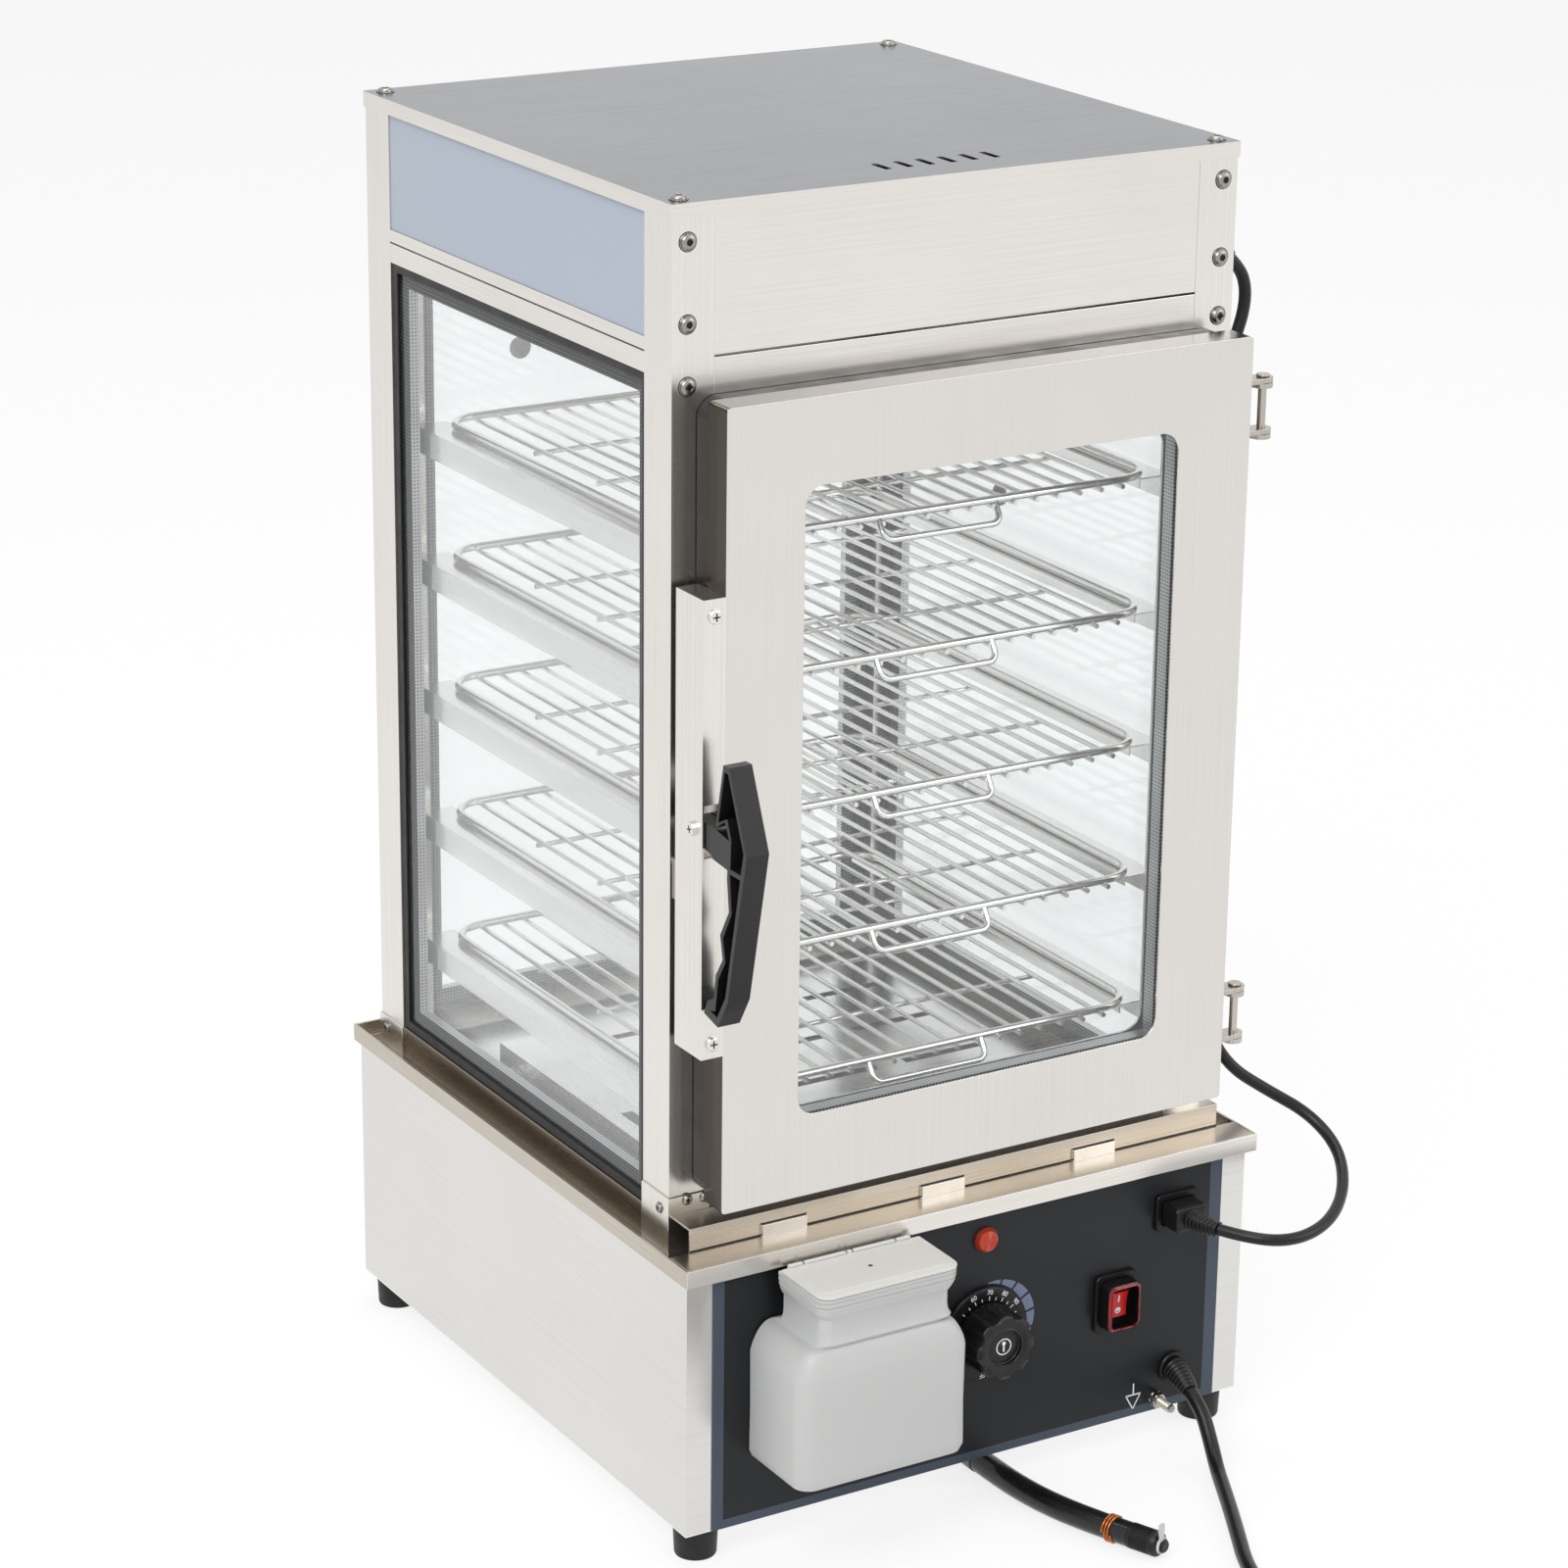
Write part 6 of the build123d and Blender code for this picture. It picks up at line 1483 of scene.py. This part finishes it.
@dataclass
class FillingBottle:
    """Translucent water bottle with a square neck, a ribbed collar and a flip lid."""

    left: float = -155.0
    right: float = -40.0
    depth: float = 59.0
    bottom: float = 62.0
    shoulder: float = 134.0
    corner: float = 11.0
    neck_mid: float = -94.5
    collar: tuple[Pair, ...] = (
        (168.0, 1.0), (171.5, 2.4), (173.0, 2.6), (173.3, 3.0), (174.8, 3.2), (175.1, 2.7), (175.9, 2.7),
        (176.2, 3.4), (177.7, 3.5), (178.0, 3.0), (178.8, 3.0), (179.1, 3.5), (180.8, 3.5), (181.0, 3.2))
    vent: Triple = (-94.5, -257.1, 183.9)

    def ring(self, x0: float, x1: float, y0: float, y1: float, corner: float, z: float) -> list[Vector]:
        """Gives a ring whose two front corners are round and whose back is nearly square."""
        points = []
        for cx, cy, start, r in ((x1, y1, 0, 1.2), (x0, y1, 90, 1.2), (x0, y0, 180, corner), (x1, y0, 270, corner)):
            sx, sy = (-1 if cx == x1 else 1), (-1 if cy == y1 else 1)
            for i in range(9):
                angle = math.radians(start + 90 * i / 8)
                points.append(Vector((cx + sx * r + r * math.cos(angle), cy + sy * r + r * math.sin(angle), z)))
        return points

    def body(self) -> Mesh:
        """Lofts the bottle from its foot over the sloping shoulder to the neck and its collar."""
        work = bmesh.new()
        back, front = OVERLAY_Y, OVERLAY_Y - self.depth
        rows = [self.ring(self.left + 5, self.right - 5, front + 5, back - 0.4, 7.0, self.bottom)]
        rows.append(self.ring(self.left + 1.6, self.right - 1.6, front + 1.6, back, 10.0, self.bottom + 1.6))
        rows.append(self.ring(self.left, self.right, front, back, self.corner, self.bottom + 5.5))
        for z, pull in ((70.0, 0.0), (96.0, 0.3), (self.shoulder - 3, 0.0)):
            rows.append(self.ring(self.left + pull, self.right - pull, front + pull, back, self.corner, z))
        for k in range(1, 11):
            t = k / 10
            z = self.shoulder - 3 + 18.0 * math.sin(t * math.pi / 2) ** 1.2
            aside = 13.5 * t ** 1.6
            rows.append(self.ring(self.left + aside, self.right - aside, front + 5.7 * t ** 1.4, back - 1.5 * t,
                                  self.corner - 2 * t, z))
        left, right = self.neck_mid - 43.5, self.neck_mid + 43.5
        for z, grow in ((151.5, 1.6), (154.0, 0.4), (158.0, 0.0), (166.5, 0.0)):
            rows.append(self.ring(left - grow, right + grow, front + 5.5 - grow, -232.6, 8.0, z))
        for z, grow in self.collar:
            rows.append(self.ring(left - grow, right + grow, -277.6 - grow, -232.2, 8.0, z))
        bridge(work, rows)
        return closed_mesh("bottle_body", work, 38)

    def lid(self) -> Mesh:
        """Makes the lid's plate with a raised field, its barrel and its tabs."""
        work = bmesh.new()
        x0, x1, y0, y1 = self.neck_mid - 47.0, self.neck_mid + 47.0, -281.6, -235.8
        rows = []
        for z, inset in ((181.3, 0.5), (181.7, 0.0), (182.9, 0.0), (183.3, 0.4), (183.3, 2.4), (183.55, 2.8),
                         (183.55, 5.0), (183.9, 5.4)):
            rows.append(self.ring(x0 + inset, x1 - inset, y0 + inset, y1 - inset * 0.4, 8.0 - inset * 0.5, z))
        bridge(work, rows)
        hinge = Matrix.Translation((x0 + 6, -234.2, 182.9)) @ Matrix.Rotation(math.pi / 2, 4, "Y")
        for low, high in ((0.0, 9.0), (10.5, 38.0), (39.5, 42.0), (43.5, 71.5), (73.0, 82.0)):
            lathe(work, hinge, [
                (0, low), (1.4, low), (1.6, low + 0.3), (1.6, high - 0.3), (1.4, high), (0, high)], 20)
        for low, high in ((0.5, 8.5), (11.0, 37.5), (44.0, 71.0), (73.5, 81.5)):
            section = ((-236.4, 181.9), (-234.4, 181.5), (-234.4, 183.3), (-236.4, 183.3))
            bridge(work, [[Vector((x0 + 6 + reach, y, z)) for y, z in section] for reach in (low, high)])
        return closed_mesh("bottle_lid", work, 35)

    def build(self) -> None:
        """Makes the bottle, its lid and a black disc in the vent hole as painted shade."""
        piece("filling_bottle", self.body(), BOTTLE, ["water_bottle"])
        lid = piece("filling_lid", self.lid(), LID, ["bottle_lid"], "lid")
        place = place_on(Axis.UP, self.vent)
        vent = bmesh.new()
        lathe(vent, place, [(1.6, -0.2), (2.3, -0.2), (2.3, 0.1), (1.9, 0.14), (1.6, 0.05), (1.6, -0.2)], 28)
        solid("lid_vent_rim", vent, LID, body="lid").parent = lid
        well = bmesh.new()
        # Black disc in the vent hole: painted shade.
        lathe(well, place, [(0, -0.3), (1.6, -0.3), (1.6, -0.02), (1.2, 0.03), (0, 0.03)], 24)
        solid("lid_vent_well", well, BODY_BLACK, body="lid").parent = lid


@dataclass
class LatchLever:
    """Cast black lever with its truss webs, soft edges and parting line."""

    edge: float = 0.7

    def build(self) -> None:
        """Makes the lever from its solid with rounded edges."""
        eased("latch_lever", HANDLE, self.edge, "lever", "latch_handle")


@dataclass
class Cabinet:
    """Sheet-metal frame, glazing, door, tank and light box, taken over from the solids."""

    foot_x: float = 180.9
    foot_y: Pair = (-207.8, 181.5)
    foot_profile: tuple[Pair, ...] = (
        (0, 0.8), (4.5, 0.8), (5.0, 0), (11.4, 0), (12.2, 0.4), (12.6, 1.4), (13.2, 15.5), (13.5, 17.0),
        (13.5, 19.2), (13.0, 20.0), (0, 20.0))
    step_y: float = -207.5
    clip_places: Triple = (-123.0, -14.0, 94.0)

    def build(self) -> None:
        """Dresses every folded-sheet node."""
        self.base()
        self.frame()
        self.glazing()
        self.door()
        self.inside()

    def base(self) -> None:
        """Dresses the base, its rim and what stands on the rim."""
        eased("base_shell", STEEL_BASE, 0.5)
        dress("base_floor", STEEL_INSIDE)
        rim = eased("rim_tray", STEEL_RIM)
        second_finish(rim, STEEL_ACROSS, lambda centre, normal: normal.y < -0.8 and centre.y < -229.0)
        gutter = eased("front_gutter", STEEL_RIM)
        second_finish(gutter, BRIGHT, lambda centre, normal: centre.y < -207.6 and centre.z > 192.8)
        dress("control_overlay", OVERLAY)
        self.seam_shadows()
        work = bmesh.new()
        for x in (-self.foot_x, self.foot_x):
            for y in self.foot_y:
                lathe(work, place_on(Axis.UP, (x, y, 0)), self.foot_profile, 36)
        solid("rubber_feet", work, FOOT, ["feet"])

    def seam_shadows(self) -> None:
        """Paints shadow as dark strips at the step's foot, under the side rails' cover strips and at the clips."""
        work = bmesh.new()
        ink_strip(work, place_on(Axis.FRONT, (0, self.step_y, 193.1)), [(-185.5, 0), (185.5, 0)], 0.9, 0.1)
        for x in self.clip_places:
            ink_strip(work, place_on(Axis.FRONT, (x, self.step_y, 199.9)), [(-15.5, 0), (15.5, 0)], 1.0, 0.1)
        for axis, x in ((Axis.LEFT, -HALF_WIDTH), (Axis.RIGHT, HALF_WIDTH)):
            ink_strip(work, place_on(axis, (x, 0, 709.8)), [(-155, 0), (155, 0)], 0.9, 0.1)
        # The strips only borrow the gasket rubber to paint the gaps' shadow.
        solid("sheet_seams", work, GASKET)

    def frame(self) -> None:
        """Dresses the posts, the rails, the fascia and the top cover."""
        for node, finish in (("corner_posts", STEEL_UPRIGHT), ("corner_shoes", STEEL_UPRIGHT),
                             ("fascia", STEEL_ACROSS)):
            eased(node, finish)
        rails = eased("cabinet_rails", STEEL_ACROSS)
        # The rails' low faces at the sides get the darker copy as painted shade.
        second_finish(rails, STEEL_SHADE, lambda centre, normal: centre.z < 204.0 and abs(centre.x) > 160.0)
        # The cover's upward faces carry the grey copy as painted reflection; its sides get the bright stainless.
        cover = eased("top_cover", STEEL_TOP_PAINTED_REFLECTION, 0.5)
        second_finish(cover, STEEL_ACROSS, lambda centre, normal: abs(normal.z) < 0.8)

    def glazing(self) -> None:
        """Dresses the panes, their spacers and gaskets, and plugs the panes' gas holes."""
        dress("chamber_glass", GLASS)
        dress("glass_spacers", SPACER)
        eased("glass_gaskets", GASKET, 0.5)
        eased("light_panels", LIGHT_PANEL, 0.3)
        for name, place in (("back", place_on(Axis.FRONT, (-88.0, 167.7, 632.0))),
                            ("right", place_on(Axis.LEFT, (169.0, 25.2, 538.7)))):
            work = bmesh.new()
            lathe(work, place, [
                (0, 0.0), (7.0, 0.0), (7.0, 1.4), (6.0, 2.4), (3.6, 2.6), (3.2, 1.6), (0, 1.4)], 32)
            solid(f"glass_plug_{name}", work, GREY_RUBBER)

    def door(self) -> None:
        """Dresses the door, its hinges and the latch."""
        pan = eased("door_pan", STEEL_DOOR, 0.5, "door")
        # The left side flange gets the dark copy as painted shade and reflection.
        second_finish(pan, STEEL_FOLD_PAINTED_REFLECTION, lambda centre, normal: normal.x < -0.8 and centre.x < -170.0)
        # The upward top fold gets the grey copy as painted shade.
        second_finish(pan, STEEL_LEDGE_PAINTED_SHADE, lambda centre, normal: normal.z > 0.8 and centre.z > 688.0)
        eased("door_frame", STEEL_DOOR, SHEET_EDGE, "door")
        dress("door_panes", GLASS)
        dress("door_spacer", SPACER)
        eased("door_gasket", SEAL, 1.0, "door")
        eased("hinge_brackets", STEEL_HINGE, 0.3)
        eased("door_hinge_lugs", STEEL_HINGE, 0.3, "door")
        eased("latch_box", STEEL_UPRIGHT, 0.5, "door")
        eased("latch_strike", STEEL_HINGE)

    def inside(self) -> None:
        """Dresses the tank, its cover, the rack ledges, what is under the tray and the lamp."""
        for node in ("rack_rails", "water_tank", "tank_cover"):
            eased(node, STEEL_INSIDE)
        for node, finish, width in (
                ("heating_element", BRIGHT, 0.3), ("thermostat", NUT, 0.4), ("terminal_block", TERMINAL, 0.3),
                ("wing_knob", CLEAR, 0.4), ("water_inlet", NUT, 0.3), ("light_tube", TUBE, 0.3)):
            eased(node, finish, width)


def main() -> None:
    """Builds the studio, the cords and every piece in order."""
    ViewPoint().build()
    MainsLead().build()
    LampLead().build()
    DrainLine().build()
    Studio().build()
    for part in (Cabinet(), Fasteners(), WireRacks(), LatchLever(), Dial(), Switch(), PanelFittings(),
                 FillingBottle()):
        part.build()
        log.info("%s is done", type(part).__name__)


if __name__ == "__main__":
    main()
